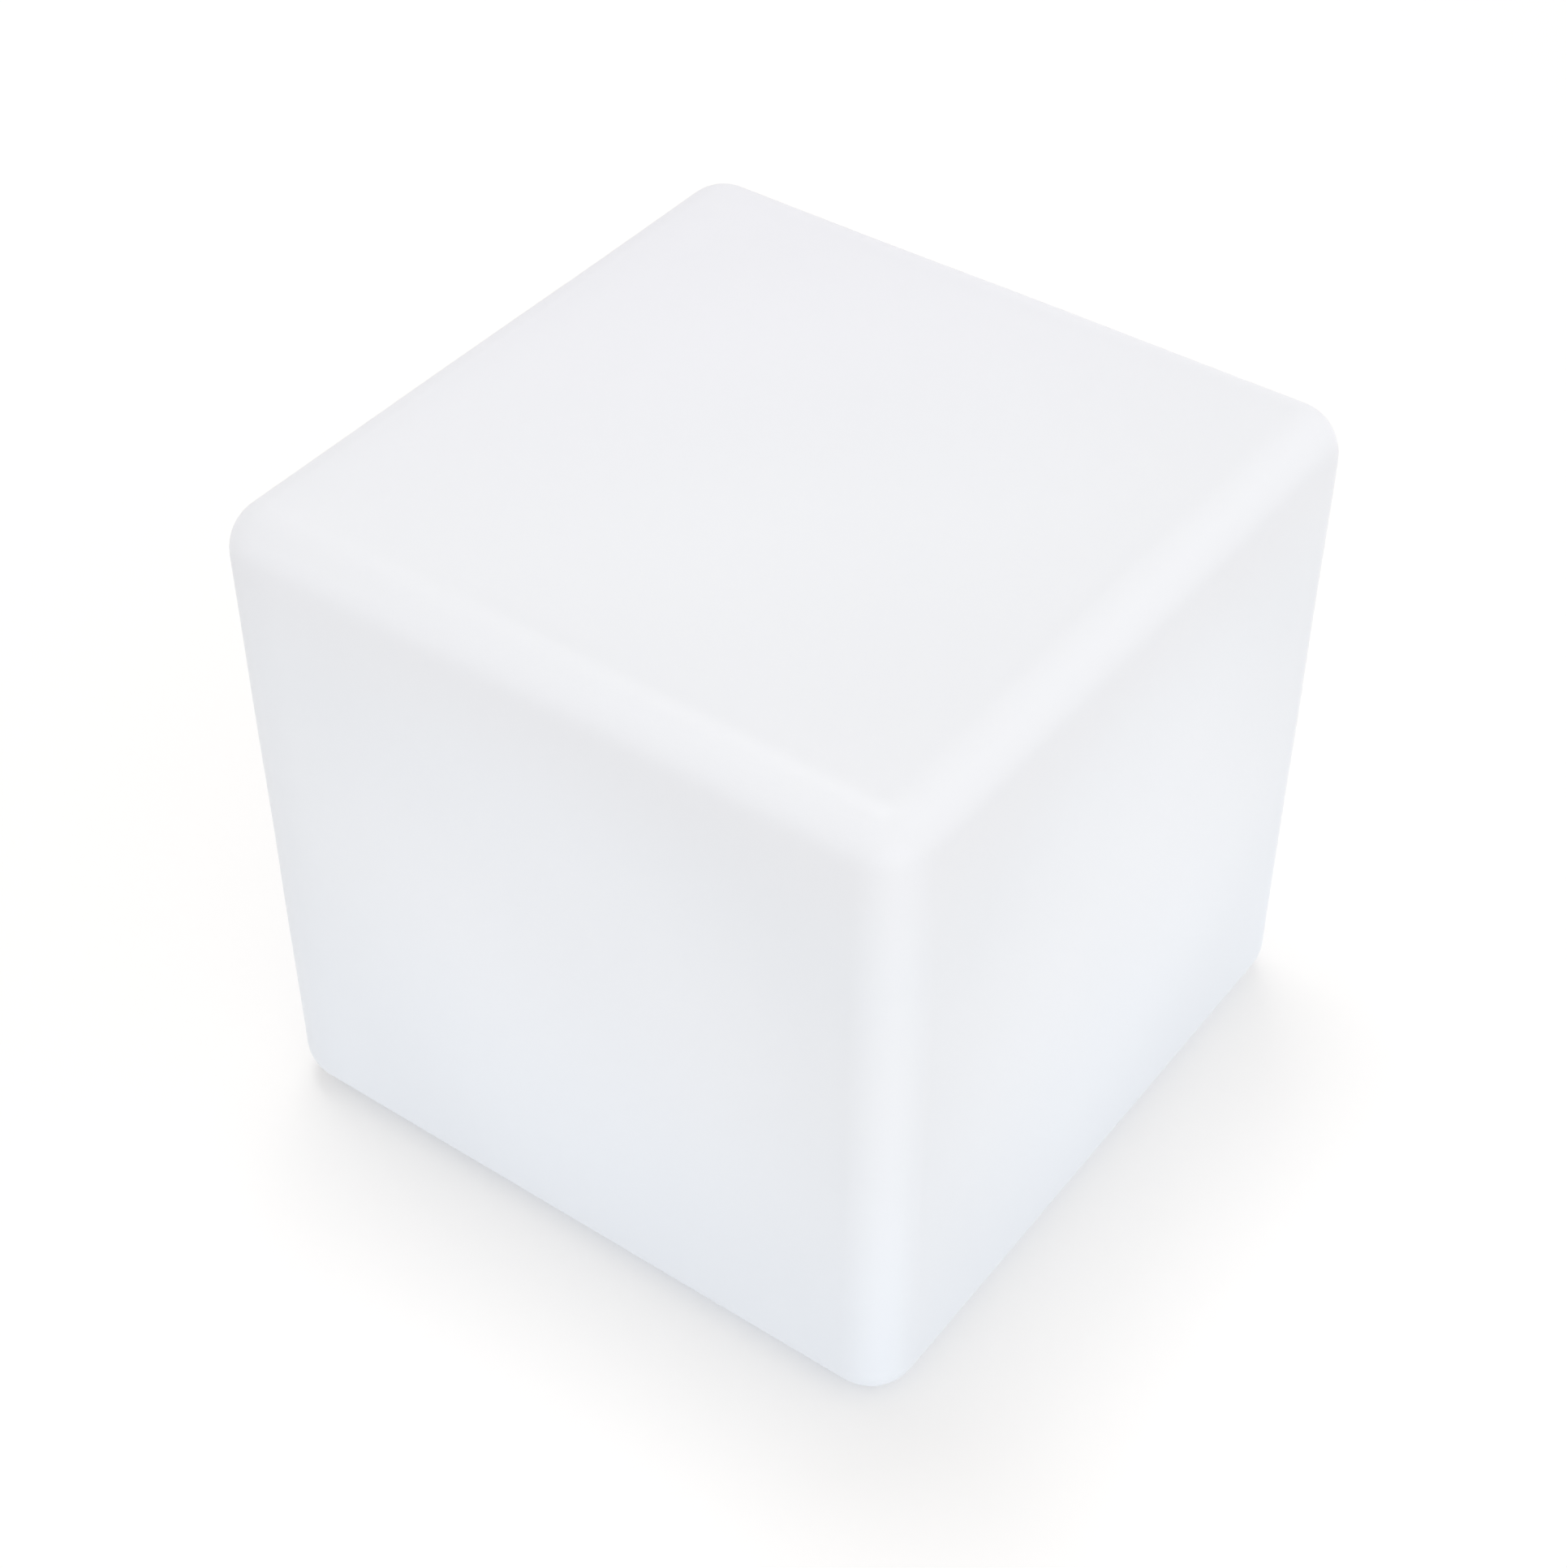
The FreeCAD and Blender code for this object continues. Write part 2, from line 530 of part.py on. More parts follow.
def make_inner_housing():
    """Drum on the spigot: it roofs the battery and the board, and carries the LED board."""
    drum = cylinder(SPIGOT_R, HOUSING_H, z=SPIGOT_TOP_Z)
    drum = drum.makeFillet(COVER_ROUND, edges_at(drum, HOUSING_TOP_Z))
    roof_z = HOUSING_TOP_Z - HOUSING_TOP
    hollow = cylinder(BAY_R, HOUSING_H - HOUSING_TOP, z=SPIGOT_TOP_Z)
    hollow = hollow.makeFillet(COVER_ROUND, edges_at(hollow, roof_z))
    lip_r = BAY_R - LIP_GAP
    lip = tube(lip_r, lip_r - LIP_WALL, LIP_H + LIP_RISE, z=SPIGOT_TOP_Z - LIP_H)
    shoulder = tube((BAY_R + SPIGOT_R) / 2, lip_r - LIP_WALL, LIP_RISE, z=SPIGOT_TOP_Z)
    solids = [drum.cut(hollow), lip, shoulder]
    for x, y in pillars():
        solids.append(cylinder(PILLAR_R, HOUSING_H - HOUSING_TOP / 2, x, y, SPIGOT_TOP_Z))
    for x, y in dome_screw_places() + led_screw_places():
        solids.append(cylinder(BOSS_R, BOSS_H, x, y, roof_z - BOSS_H + HOUSING_TOP / 2))
    body = join(solids)

    cuts = []
    for x, y in pillars():
        # the lip is notched where the cover's own pillars come up beside it
        cuts.append(cylinder(PILLAR_R + HEAD_GAP, LIP_H, x, y, SPIGOT_TOP_Z - LIP_H))
        outward = math.copysign((SPIGOT_R - PILLAR_X) / 2, x)
        cuts.append(block(SPIGOT_R - PILLAR_X, RIB_T + 2 * HEAD_GAP, LIP_H, x + outward, y,
                          SPIGOT_TOP_Z - LIP_H))
        depth = HOUSING_SCREW_LENGTH - (SPIGOT_TOP_Z - COVER_Z - M3_HEAD) + BLIND
        cuts.append(cylinder(M3_R + M3_GAP, depth + 1.0, x, y, SPIGOT_TOP_Z - 1.0))
    for x, y in dome_screw_places():
        depth = DOME_SCREW_LENGTH - DOME_FLANGE_T + BLIND
        cuts.append(cylinder(M3_R + M3_GAP, depth + 1.0, x, y, HOUSING_TOP_Z - depth))
    for x, y in led_screw_places():
        depth = LED_SCREW_LENGTH - LED_BOARD_T + BLIND
        cuts.append(cylinder(M25_R + M25_GAP, depth + 1.0, x, y, HOUSING_TOP_Z - depth))
    wire_x, wire_y = WIRE_HOLE_AT
    cuts.append(cylinder(WIRE_HOLE_R, HOUSING_TOP + 2.0, wire_x, wire_y,
                         HOUSING_TOP_Z - HOUSING_TOP - 1.0))
    return body.cut(cuts)


def make_housing_screws():
    screws = []
    for x, y in pillars():
        screws.append(screw(x, y, COVER_Z + M3_HEAD, UP, M3_R, HOUSING_SCREW_LENGTH,
                            M3_HEAD_R, M3_HEAD, 0.8))
    return Part.makeCompound(screws)


def led_screw_places():
    return on_ring(LED_SCREW_RING_R, LED_SCREWS, 90.0)


def dome_screw_places():
    return on_ring(DOME_SCREW_RING_R, DOME_SCREWS, 45.0)


def led_places():
    return (on_ring(LED_RING_R, LED_COUNT, 15.0)
            + on_ring(LED_INNER_RING_R, LED_INNER_COUNT, 45.0))


def make_led_board():
    """Round aluminium-core board with a hole for its wires."""
    board = cylinder(LED_BOARD_R, LED_BOARD_T, z=HOUSING_TOP_Z)
    wire_x, wire_y = WIRE_HOLE_AT
    cuts = [cylinder(WIRE_HOLE_R, LED_BOARD_T + 2.0, wire_x, wire_y, HOUSING_TOP_Z - 1.0)]
    for x, y in led_screw_places():
        cuts.append(cylinder(M25_R + HOLE_GAP, LED_BOARD_T + 2.0, x, y, HOUSING_TOP_Z - 1.0))
    return board.cut(cuts)


def make_led_chips():
    """Square surface-mount LEDs, each with the round well that holds its phosphor."""
    chips = []
    for x, y in led_places():
        chip = block(LED_SIDE, LED_SIDE, LED_H, x, y, LED_TOP_Z)
        well = Part.makeCone(LED_SIDE * 0.34, LED_SIDE * 0.4, 0.6,
                             V(x, y, LED_TOP_Z + LED_H - 0.6), UP)
        chips.append(chip.cut(well))
    return Part.makeCompound(chips)


def make_led_board_screws():
    screws = []
    for x, y in led_screw_places():
        screws.append(screw(x, y, LED_TOP_Z, DOWN, M25_R, LED_SCREW_LENGTH,
                            M25_HEAD_R, M25_HEAD, 0.7))
    return Part.makeCompound(screws)


def make_diffuser_dome():
    """Clear cap over the LEDs: a spherical bowl on a flat screwed flange."""
    base_z = HOUSING_TOP_Z
    sphere_r = (DOME_BASE_R ** 2 + DOME_RISE ** 2) / (2 * DOME_RISE)
    centre_z = base_z + DOME_FLANGE_T + DOME_RISE - sphere_r
    above = block(4 * sphere_r, 4 * sphere_r, 4 * sphere_r, z=base_z)
    outside = Part.makeSphere(sphere_r, V(0, 0, centre_z)).common(above)
    inside = Part.makeSphere(sphere_r - DOME_WALL, V(0, 0, centre_z))
    flange = cylinder(DOME_FLANGE_R, DOME_FLANGE_T, z=base_z)
    body = join([flange, outside])
    # straight wall under the bowl, so that the board and its screws stand clear
    well = cylinder(DOME_BASE_R - DOME_WALL, DOME_FLANGE_T, z=base_z)
    body = body.cut([inside.common(above), well])
    holes = []
    for x, y in dome_screw_places():
        holes.append(cylinder(M3_R + HOLE_GAP, DOME_FLANGE_T + 2.0, x, y, base_z - 1.0))
        # spot faces let the screw heads sit beside the bowl
        holes.append(cylinder(M3_HEAD_R + HEAD_GAP / 2, DOME_RISE, x, y, base_z + DOME_FLANGE_T))
    return body.cut(holes)


def make_dome_screws():
    screws = []
    for x, y in dome_screw_places():
        screws.append(screw(x, y, HOUSING_TOP_Z + DOME_FLANGE_T, DOWN, M3_R, DOME_SCREW_LENGTH,
                            M3_HEAD_R, M3_HEAD, 0.8))
    return Part.makeCompound(screws)


# ---- battery pack ----------------------------------------------------------------------------------
def make_battery_cells():
    """Two cylindrical cells side by side, the second turned end for end."""
    cells = []
    for side in (-1, 1):
        y = PACK_Y + side * CELL_PITCH / 2
        can_length = CELL_LENGTH - CELL_CAP_H
        start = V(-side * CELL_LENGTH / 2, y, PACK_Z)
        along = V(side, 0, 0)
        can = Part.makeCylinder(CELL_R, can_length, start, along)
        can = can.makeFillet(0.8, [e for e in can.Edges if not isinstance(e.Curve, Part.Line)])
        end = start + along * can_length
        groove = Part.makeTorus(CELL_R + 0.35, 0.8, end - along * 4.0, along)
        button = Part.makeCylinder(CELL_CAP_R, CELL_CAP_H, end, along)
        cells.append(join([can.cut(groove), button]))
    return Part.makeCompound(cells)


def make_cell_tabs():
    """Nickel strips on the cell ends: one joins the pair, the other two take the leads."""
    end = CELL_LENGTH / 2 + TAB_T / 2
    low = PACK_Z - TAB_W / 2
    tabs = [block(TAB_T, CELL_PITCH + TAB_W, TAB_W, -end, PACK_Y, low)]
    for side in (-1, 1):
        tabs.append(block(TAB_T, TAB_W, TAB_W, end, PACK_Y + side * CELL_PITCH / 2, low))
    return Part.makeCompound(tabs)


def make_battery_wrap():
    """Shrink sleeve round both cells, turned in a little over each end."""
    length = CELL_LENGTH + 2 * (WRAP_GAP + WRAP_T)
    outside = stadium(WRAP_GAP + WRAP_T, length)
    inside = stadium(WRAP_GAP, CELL_LENGTH + 2 * WRAP_GAP)
    ends = stadium(-2.5, length + 2.0)
    return outside.cut([inside, ends])


def make_battery_clamp():
    """Strap over the pack with a screwed foot on each side."""
    gap = WRAP_GAP + WRAP_T + CRADLE_GAP
    band = stadium(gap + CLAMP_T, CLAMP_WIDTH).cut(stadium(gap, CLAMP_WIDTH + 2.0))
    foot_z = COVER_TOP_Z + CLAMP_BOSS_H
    band = band.common(block(WIDTH, WIDTH, HEIGHT, z=foot_z))
    feet = []
    holes = []
    for y in clamp_feet():
        foot = block(CLAMP_WIDTH, CLAMP_FOOT, CLAMP_FOOT_T, 0.0, y, foot_z)
        feet.append(foot.cut(stadium(gap, CLAMP_WIDTH + 2.0)))
        holes.append(cylinder(M3_R + HOLE_GAP, CLAMP_FOOT_T + 2.0, 0.0, y, foot_z - 1.0))
        # room for the screw head beside the band
        holes.append(cylinder(M3_HEAD_R + HEAD_GAP / 2, CELL_R, 0.0, y, foot_z + CLAMP_FOOT_T))
    return join([band] + feet).cut(holes)


def make_clamp_screws():
    screws = []
    for y in clamp_feet():
        screws.append(screw(0.0, y, COVER_TOP_Z + CLAMP_BOSS_H + CLAMP_FOOT_T, DOWN, M3_R,
                            CLAMP_SCREW_LENGTH, M3_HEAD_R, M3_HEAD, 0.8))
    return Part.makeCompound(screws)


# ---- control board ---------------------------------------------------------------------------------
def board_posts():
    x = BOARD_X / 2 - BOARD_POST_INSET
    y = BOARD_Y / 2 - BOARD_POST_INSET
    return [(sx * x, BOARD_AT_Y + sy * y) for sx in (-1, 1) for sy in (-1, 1)]


def make_control_board():
    """Driver and charger board, component side up, held on four posts."""
    board = block(BOARD_X, BOARD_Y, BOARD_T, 0.0, BOARD_AT_Y, BOARD_Z)
    upright = [e for e in board.Edges if e.BoundBox.ZLength > BOARD_T / 2]
    board = board.makeFillet(2.0, upright)
    holes = []
    for x, y in board_posts():
        holes.append(cylinder(M25_R + HOLE_GAP, BOARD_T + 2.0, x, y, BOARD_Z - 1.0))
    return board.cut(holes)


def battery_socket_at():
    return 15.0, BOARD_AT_Y + 10.0


def led_socket_at():
    return WIRE_HOLE_AT[0], BOARD_AT_Y + 10.0


def header(size, x, y):
    """Open-topped board header that a wire plug is pushed into."""
    wide, deep, tall = size
    box = block(wide, deep, tall, x, y, BOARD_TOP_Z)
    return box.cut(block(wide - 2 * HEADER_WALL, deep - 2 * HEADER_WALL, tall, x, y,
                         BOARD_TOP_Z + HEADER_WALL))


def make_board_components():
    """What stands on the board: two headers, a driver chip, a choke, capacitors and transistors."""
    parts = [header(SOCKET, *battery_socket_at()), header(LED_SOCKET, *led_socket_at())]
    chip_y = BOARD_AT_Y - 1.5
    chip = block(9.0, 6.0, 1.6, -4.0, chip_y, BOARD_TOP_Z + 0.2)
    legs = []
    for k in range(7):
        x = -4.0 + (k - 3) * 1.27
        for side in (-1, 1):
            legs.append(block(0.5, 1.4, 0.4, x, chip_y + side * 3.5, BOARD_TOP_Z))
            legs.append(block(0.5, 0.7, 0.8, x, chip_y + side * 3.1, BOARD_TOP_Z))
    parts.append(join([chip] + legs))
    choke = block(7.0, 7.0, 3.6, 9.5, BOARD_AT_Y - 1.0, BOARD_TOP_Z)
    parts.append(choke.makeChamfer(1.5, [e for e in choke.Edges if e.BoundBox.ZLength > 3.0]))
    for x, y in ((-19.0, BOARD_AT_Y - 1.0), (19.5, BOARD_AT_Y - 3.0)):
        can = cylinder(3.0, 8.0, x, y, BOARD_TOP_Z + 0.3)
        foot = block(6.6, 6.6, 0.6, x, y, BOARD_TOP_Z)
        parts.append(join([foot, can.makeFillet(0.6, edges_at(can, BOARD_TOP_Z + 8.3))]))
    for k in range(4):
        parts.append(block(3.0, 1.6, 1.1, -12.0 + 5.0 * k, BOARD_AT_Y - 10.0, BOARD_TOP_Z))
    return Part.makeCompound(parts)


def make_board_screws():
    screws = []
    for x, y in board_posts():
        screws.append(screw(x, y, BOARD_TOP_Z, DOWN, M25_R, BOARD_SCREW_LENGTH,
                            M25_HEAD_R, M25_HEAD, 0.7))
    return Part.makeCompound(screws)


# ---- push button -----------------------------------------------------------------------------------
def make_button_cap():
    """Round button with a finger dish, a seal groove, a stop flange and a stem to the switch."""
    face_z = COVER_Z - BUTTON_PROUD
    barrel_h = COVER_TOP_Z - face_z
    barrel = cylinder(BUTTON_R, barrel_h, BUTTON_X, BOARD_AT_Y, face_z)
    barrel = barrel.makeFillet(BUTTON_ROUND, edges_at(barrel, face_z))
    flange = cylinder(BUTTON_FLANGE_R, BUTTON_FLANGE_T, BUTTON_X, BOARD_AT_Y, COVER_TOP_Z)
    stem_h = SWITCH_Z - PLUNGER_PROUD - COVER_TOP_Z
    stem = cylinder(STEM_R, stem_h, BUTTON_X, BOARD_AT_Y, COVER_TOP_Z)
    dish = Part.makeSphere(BUTTON_DISH_R, V(BUTTON_X, BOARD_AT_Y,
                                            face_z + BUTTON_DISH_DEPTH - BUTTON_DISH_R))
    groove_r = button_seal_r() - BUTTON_SEAL_WIRE_R - BUTTON_SEAL_GAP
    groove_half = BUTTON_SEAL_WIRE_R + 2 * BUTTON_SEAL_GAP
    groove = tube(BUTTON_R + 1.0, groove_r, 2 * groove_half, BUTTON_X, BOARD_AT_Y,
                  COVER_Z + BUTTON_GROOVE_Z - groove_half)
    return join([barrel, flange, stem]).cut([dish, groove])


def button_seal_r():
    return BUTTON_R + BUTTON_GAP - BUTTON_SEAL_GAP - BUTTON_SEAL_WIRE_R


def make_button_seal():
    """O-ring in the button's groove."""
    centre = V(BUTTON_X, BOARD_AT_Y, COVER_Z + BUTTON_GROOVE_Z)
    return Part.makeTorus(button_seal_r(), BUTTON_SEAL_WIRE_R, centre, UP)


def make_push_switch():
    """Momentary switch under the board, with the bore that its plunger slides in."""
    body = block(SWITCH_SIDE, SWITCH_SIDE, SWITCH_H, BUTTON_X, BOARD_AT_Y, SWITCH_Z)
    body = body.makeChamfer(0.5, [e for e in body.Edges if e.BoundBox.ZLength > SWITCH_H / 2])
    bore_h = PLUNGER_DEPTH + BUTTON_TRAVEL + PLUNGER_SPARE
    return body.cut(cylinder(PLUNGER_R + PLUNGER_GAP, bore_h, BUTTON_X, BOARD_AT_Y, SWITCH_Z))


def make_switch_plunger():
    height = PLUNGER_PROUD + PLUNGER_DEPTH
    return cylinder(PLUNGER_R, height, BUTTON_X, BOARD_AT_Y, SWITCH_Z - PLUNGER_PROUD)


def arc_from(start, corner, end):
    """Arc that leaves start towards corner and arrives at end from it; both legs are as long."""
    lean = (end - start).Length / 2 / (corner - start).Length
    middle = (start + corner * (2 * lean) + end) * (1 / (2 + 2 * lean))
    return Part.Arc(start, middle, end).toShape()


def make_button_spring():
    """Return spring round the stem: a wire helix drawn as tangent pairs of arcs, a quarter turn each."""
    low_z = COVER_TOP_Z + BUTTON_FLANGE_T + SPRING_WIRE_R + SPRING_END_GAP
    high_z = SWITCH_Z - SPRING_WIRE_R - SPRING_END_GAP
    steps = SPRING_TURNS * 4
    climb = (high_z - low_z) / (SPRING_TURNS * 2 * math.pi)

    def at(angle):
        return V(BUTTON_X + SPRING_R * math.cos(angle), BOARD_AT_Y + SPRING_R * math.sin(angle),
                 low_z + climb * angle)

    def heading(angle):
        way = V(-SPRING_R * math.sin(angle), SPRING_R * math.cos(angle), climb)
        return way.normalize()

    edges = []
    for k in range(steps):
        a, b = (k * math.pi / 2, (k + 1) * math.pi / 2)
        p, q, s, t = at(a), at(b), heading(a), heading(b)
        span = q - p
        both = s + t
        spread = 2 * (1 - s.dot(t))
        reach = (-span.dot(both) + math.sqrt(span.dot(both) ** 2 + spread * span.dot(span))) / spread
        first = p + s * reach
        second = q - t * reach
        middle = (first + second) * 0.5
        edges.append(arc_from(p, first, middle))
        edges.append(arc_from(middle, second, q))
    path = Part.Wire(edges)
    section = Part.Wire([Part.Circle(at(0.0), heading(0.0), SPRING_WIRE_R).toShape()])
    wire = path.makePipeShell([section], True, False)
    print("spring: gap between turns %.2f mm, volume %.3f against %.3f mm3" % (
        (high_z - low_z) / SPRING_TURNS - 2 * SPRING_WIRE_R, wire.Volume,
        math.pi * SPRING_WIRE_R ** 2 * path.Length))
    return wire


# ---- charging socket and its flap ------------------------------------------------------------------
def make_charge_socket():
    """Upright barrel socket under the board; its collar reaches down into the cover's port."""
    height = BOARD_Z - JACK_BODY_Z
    body = block(JACK_BODY, JACK_BODY, height, JACK_X, BOARD_AT_Y, JACK_BODY_Z)
    body = body.makeChamfer(0.8, [e for e in body.Edges if e.BoundBox.ZLength > height / 2])
    collar = cylinder(JACK_COLLAR_R, JACK_BODY_Z - JACK_MOUTH_Z, JACK_X, BOARD_AT_Y, JACK_MOUTH_Z)
    bore_h = BOARD_Z - JACK_BORE_ROOF - JACK_MOUTH_Z
    bore = cylinder(JACK_BORE_R, bore_h, JACK_X, BOARD_AT_Y, JACK_MOUTH_Z)
    return join([body, collar]).cut(bore)


def make_socket_pin():
    """Centre contact of the charging socket."""
    roof_z = BOARD_Z - JACK_BORE_ROOF
    pin = cylinder(JACK_PIN_R, JACK_PIN_LENGTH, JACK_X, BOARD_AT_Y, roof_z - JACK_PIN_LENGTH)
    return pin.makeFillet(0.4, edges_at(pin, roof_z - JACK_PIN_LENGTH))


def anchor_x():
    return HINGE_X + HINGE_TAPER + (ANCHOR_LENGTH - HINGE_TAPER) / 2


def tapered_web(from_x, to_x):
    """The strap thinning towards the hinge line, from full thickness at from_x."""
    half_w = STRAP_W / 2
    full, thin = FLAP_T / 2, HINGE_R
    corners = [V(from_x, BOARD_AT_Y - half_w, HINGE_Z - full),
               V(from_x, BOARD_AT_Y - half_w, HINGE_Z + full),
               V(to_x, BOARD_AT_Y - half_w, HINGE_Z + thin),
               V(to_x, BOARD_AT_Y - half_w, HINGE_Z - thin)]
    face = Part.Face(Part.makePolygon(corners + corners[:1]))
    return face.extrude(V(0, STRAP_W, 0))


def make_port_flap():
    """Silicone flap: a disc with a plug nose, a pull tab, and a strap thinned at the hinge line."""
    strap, disc, tab = flap_outline(0.0, FLAP_T, FLAP_Z)
    strap = strap.common(block(2 * (HINGE_X - HINGE_TAPER - JACK_X), WIDTH, HEIGHT, JACK_X))
    web = tapered_web(HINGE_X - HINGE_TAPER, HINGE_X)
    knuckle = Part.makeCylinder(HINGE_R, STRAP_W, V(HINGE_X, BOARD_AT_Y - STRAP_W / 2, HINGE_Z),
                                V(0, 1, 0))
    nose = Part.makeCone(NOSE_BASE_R, NOSE_TIP_R, NOSE_H, V(JACK_X, BOARD_AT_Y, FLAP_Z + FLAP_T), UP)
    nose = nose.makeFillet(0.5, edges_at(nose, FLAP_Z + FLAP_T + NOSE_H))
    return join([disc, strap, tab, web, knuckle, nose])


def make_flap_anchor():
    """Fixed end of the flap's strap, with the button-headed post that locks it in the cover."""
    clear = HINGE_R + HINGE_GAP
    full_x = HINGE_X + HINGE_TAPER
    web = tapered_web(full_x, HINGE_X)
    keep = block(4 * ANCHOR_LENGTH, WIDTH, HEIGHT, HINGE_X + clear + 2 * ANCHOR_LENGTH)
    end_x = HINGE_X + ANCHOR_LENGTH
    pad = block(end_x - full_x, STRAP_W, FLAP_T, (full_x + end_x) / 2, BOARD_AT_Y, FLAP_Z)
    post_h = COVER_TOP_Z - FLAP_Z - FLAP_T
    post = cylinder(ANCHOR_POST_R, post_h, anchor_x(), BOARD_AT_Y, FLAP_Z + FLAP_T)
    head = Part.makeCone(ANCHOR_HEAD_R, ANCHOR_POST_R, ANCHOR_HEAD_H,
                         V(anchor_x(), BOARD_AT_Y, COVER_TOP_Z), UP)
    return join([web.common(keep), pad, post, head])


# ---- status light ----------------------------------------------------------------------------------
def make_status_lens():
    """Light pipe from the board's indicator to the cover's outer face."""
    low = COVER_Z - LENS_PROUD
    high = BOARD_Z - INDICATOR[2] - LENS_TO_LED
    pipe = cylinder(LENS_R, high - low, 0.0, LENS_Y, low)
    pipe = pipe.makeFillet(0.15, edges_at(pipe, low))
    flange = cylinder(LENS_FLANGE_R, LENS_FLANGE_T, 0.0, LENS_Y, COVER_TOP_Z)
    return join([pipe, flange])


def make_indicator_led():
    wide, deep, tall = INDICATOR
    return block(wide, deep, tall, 0.0, LENS_Y, BOARD_Z - tall)


# ---- wiring ----------------------------------------------------------------------------------------
def wire_along(points):
    """A round wire along straight runs joined by tangent arcs, as large as the runs allow."""
    points = [V(*p) for p in points]
    edges = []
    start = points[0]
    for k in range(1, len(points) - 1):
        before, here, after = points[k - 1:k + 2]
        cut_back = 0.45 * min((here - before).Length, (after - here).Length)
        leave = here + (before - here).normalize() * cut_back
        arrive = here + (after - here).normalize() * cut_back
        edges.append(Part.LineSegment(start, leave).toShape())
        edges.append(arc_from(leave, here, arrive))
        start = arrive
    edges.append(Part.LineSegment(start, points[-1]).toShape())
    path = Part.Wire(edges)
    section = Part.Wire([Part.Circle(points[0], points[1] - points[0], WIRE_R).toShape()])
    return path.makePipeShell([section], True, False)


def plug(size, x, y):
    """Wire plug that fills its header and stands proud of it."""
    wide, deep, tall = size
    shrink = 2 * (HEADER_WALL + PLUG_GAP)
    stem = block(wide - shrink, deep - shrink, tall - HEADER_WALL, x, y, BOARD_TOP_Z + HEADER_WALL)
    top = block(wide, deep, PLUG_TOP, x, y, BOARD_TOP_Z + tall)
    return join([stem, top])


def plug_top_z(size):
    return BOARD_TOP_Z + size[2] + PLUG_TOP


def make_battery_plug():
    return plug(SOCKET, *battery_socket_at())


def make_battery_leads():
    """Two wires from the pack's end strips, over the board's edge and down into the battery plug."""
    socket_x, socket_y = battery_socket_at()
    top = plug_top_z(SOCKET)
    end_x = CELL_LENGTH / 2 + TAB_T
    out_x = end_x + 6.5
    near_y = PACK_Y - CELL_PITCH / 2
    far_y = PACK_Y + CELL_PITCH / 2
    half = WIRE_PITCH / 2
    lower = [
        (end_x, near_y, PACK_Z - half),
        (out_x, near_y, PACK_Z - half),
        (out_x, near_y - 13.0, PACK_Z + 9.0),
        (socket_x + 12.0, socket_y, top + 8.0),
        (socket_x + half, socket_y, top + 8.5),
        (socket_x + half, socket_y, top),
    ]
    upper = [
        (end_x, far_y, PACK_Z + half),
        (out_x, far_y, PACK_Z + half),
        (out_x, near_y + 4.0, PACK_Z + 2.5),
        (out_x, near_y - 12.0, PACK_Z + 11.0),
        (socket_x + 12.0, socket_y + 1.2, top + 10.0),
        (socket_x - half, socket_y, top + 10.5),
        (socket_x - half, socket_y, top),
    ]
    return Part.makeCompound([wire_along(lower), wire_along(upper)])


def make_led_plug():
    return plug(LED_SOCKET, *led_socket_at())


def make_led_leads():
    """Wires from the LED plug up through the roof hole and over to pads on the LED board."""
    socket_x, socket_y = led_socket_at()
    wire_x, wire_y = WIRE_HOLE_AT
    top = plug_top_z(LED_SOCKET)
    wires = []
    for k in range(LED_WIRES):
        place = k - (LED_WIRES - 1) / 2
        bundle = place * (2 * WIRE_R + WIRE_GAP)
        pad_x = wire_x + place * 3.0
        wires.append(wire_along([
            (socket_x + place * WIRE_PITCH, socket_y, top),
            (socket_x + place * WIRE_PITCH, socket_y, top + 5.0),
            (wire_x + bundle, wire_y, top + 11.0),
            (wire_x + bundle, wire_y, LED_TOP_Z + 5.0),
            (pad_x, wire_y + 8.5, LED_TOP_Z + 5.5),
            (pad_x, wire_y + 8.5, LED_TOP_Z),
        ]))
    return Part.makeCompound(wires)


PIECES = {
    "shell": make_shell,
    "shell_base": make_shell_base,
    "threaded_inserts": make_threaded_inserts,
    "base_cover": make_base_cover,
    "cover_seal": make_cover_seal,
    "cover_screws": make_cover_screws,
    "inner_housing": make_inner_housing,
    "housing_screws": make_housing_screws,
    "led_board": make_led_board,
    "led_chips": make_led_chips,
    "led_board_screws": make_led_board_screws,
    "diffuser_dome": make_diffuser_dome,
    "dome_screws": make_dome_screws,
    "battery_cells": make_battery_cells,
    "cell_tabs": make_cell_tabs,
    "battery_wrap": make_battery_wrap,
    "battery_clamp": make_battery_clamp,
    "clamp_screws": make_clamp_screws,
    "control_board": make_control_board,
    "board_components": make_board_components,
    "board_screws": make_board_screws,
    "button_cap": make_button_cap,
    "button_seal": make_button_seal,
    "push_switch": make_push_switch,
    "switch_plunger": make_switch_plunger,
    "button_spring": make_button_spring,
    "charge_socket": make_charge_socket,
    "socket_pin": make_socket_pin,
    "port_flap": make_port_flap,
    "flap_anchor": make_flap_anchor,
    "status_lens": make_status_lens,
    "indicator_led": make_indicator_led,
    "battery_plug": make_battery_plug,
    "battery_leads": make_battery_leads,
    "led_plug": make_led_plug,
    "led_leads": make_led_leads,
}


def main():
    os.makedirs("parts", exist_ok=True)
    for name, make in PIECES.items():
        shape = make()
        print("%-18s %d solid(s), %.1f mm3, valid %s" % (
            name, len(shape.Solids), shape.Volume, shape.isValid()))
        shape.exportStep(os.path.join("parts", name + ".step"))


main()
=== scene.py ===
import math

import bmesh
import bpy
import numpy as np
from mathutils import Matrix, Vector


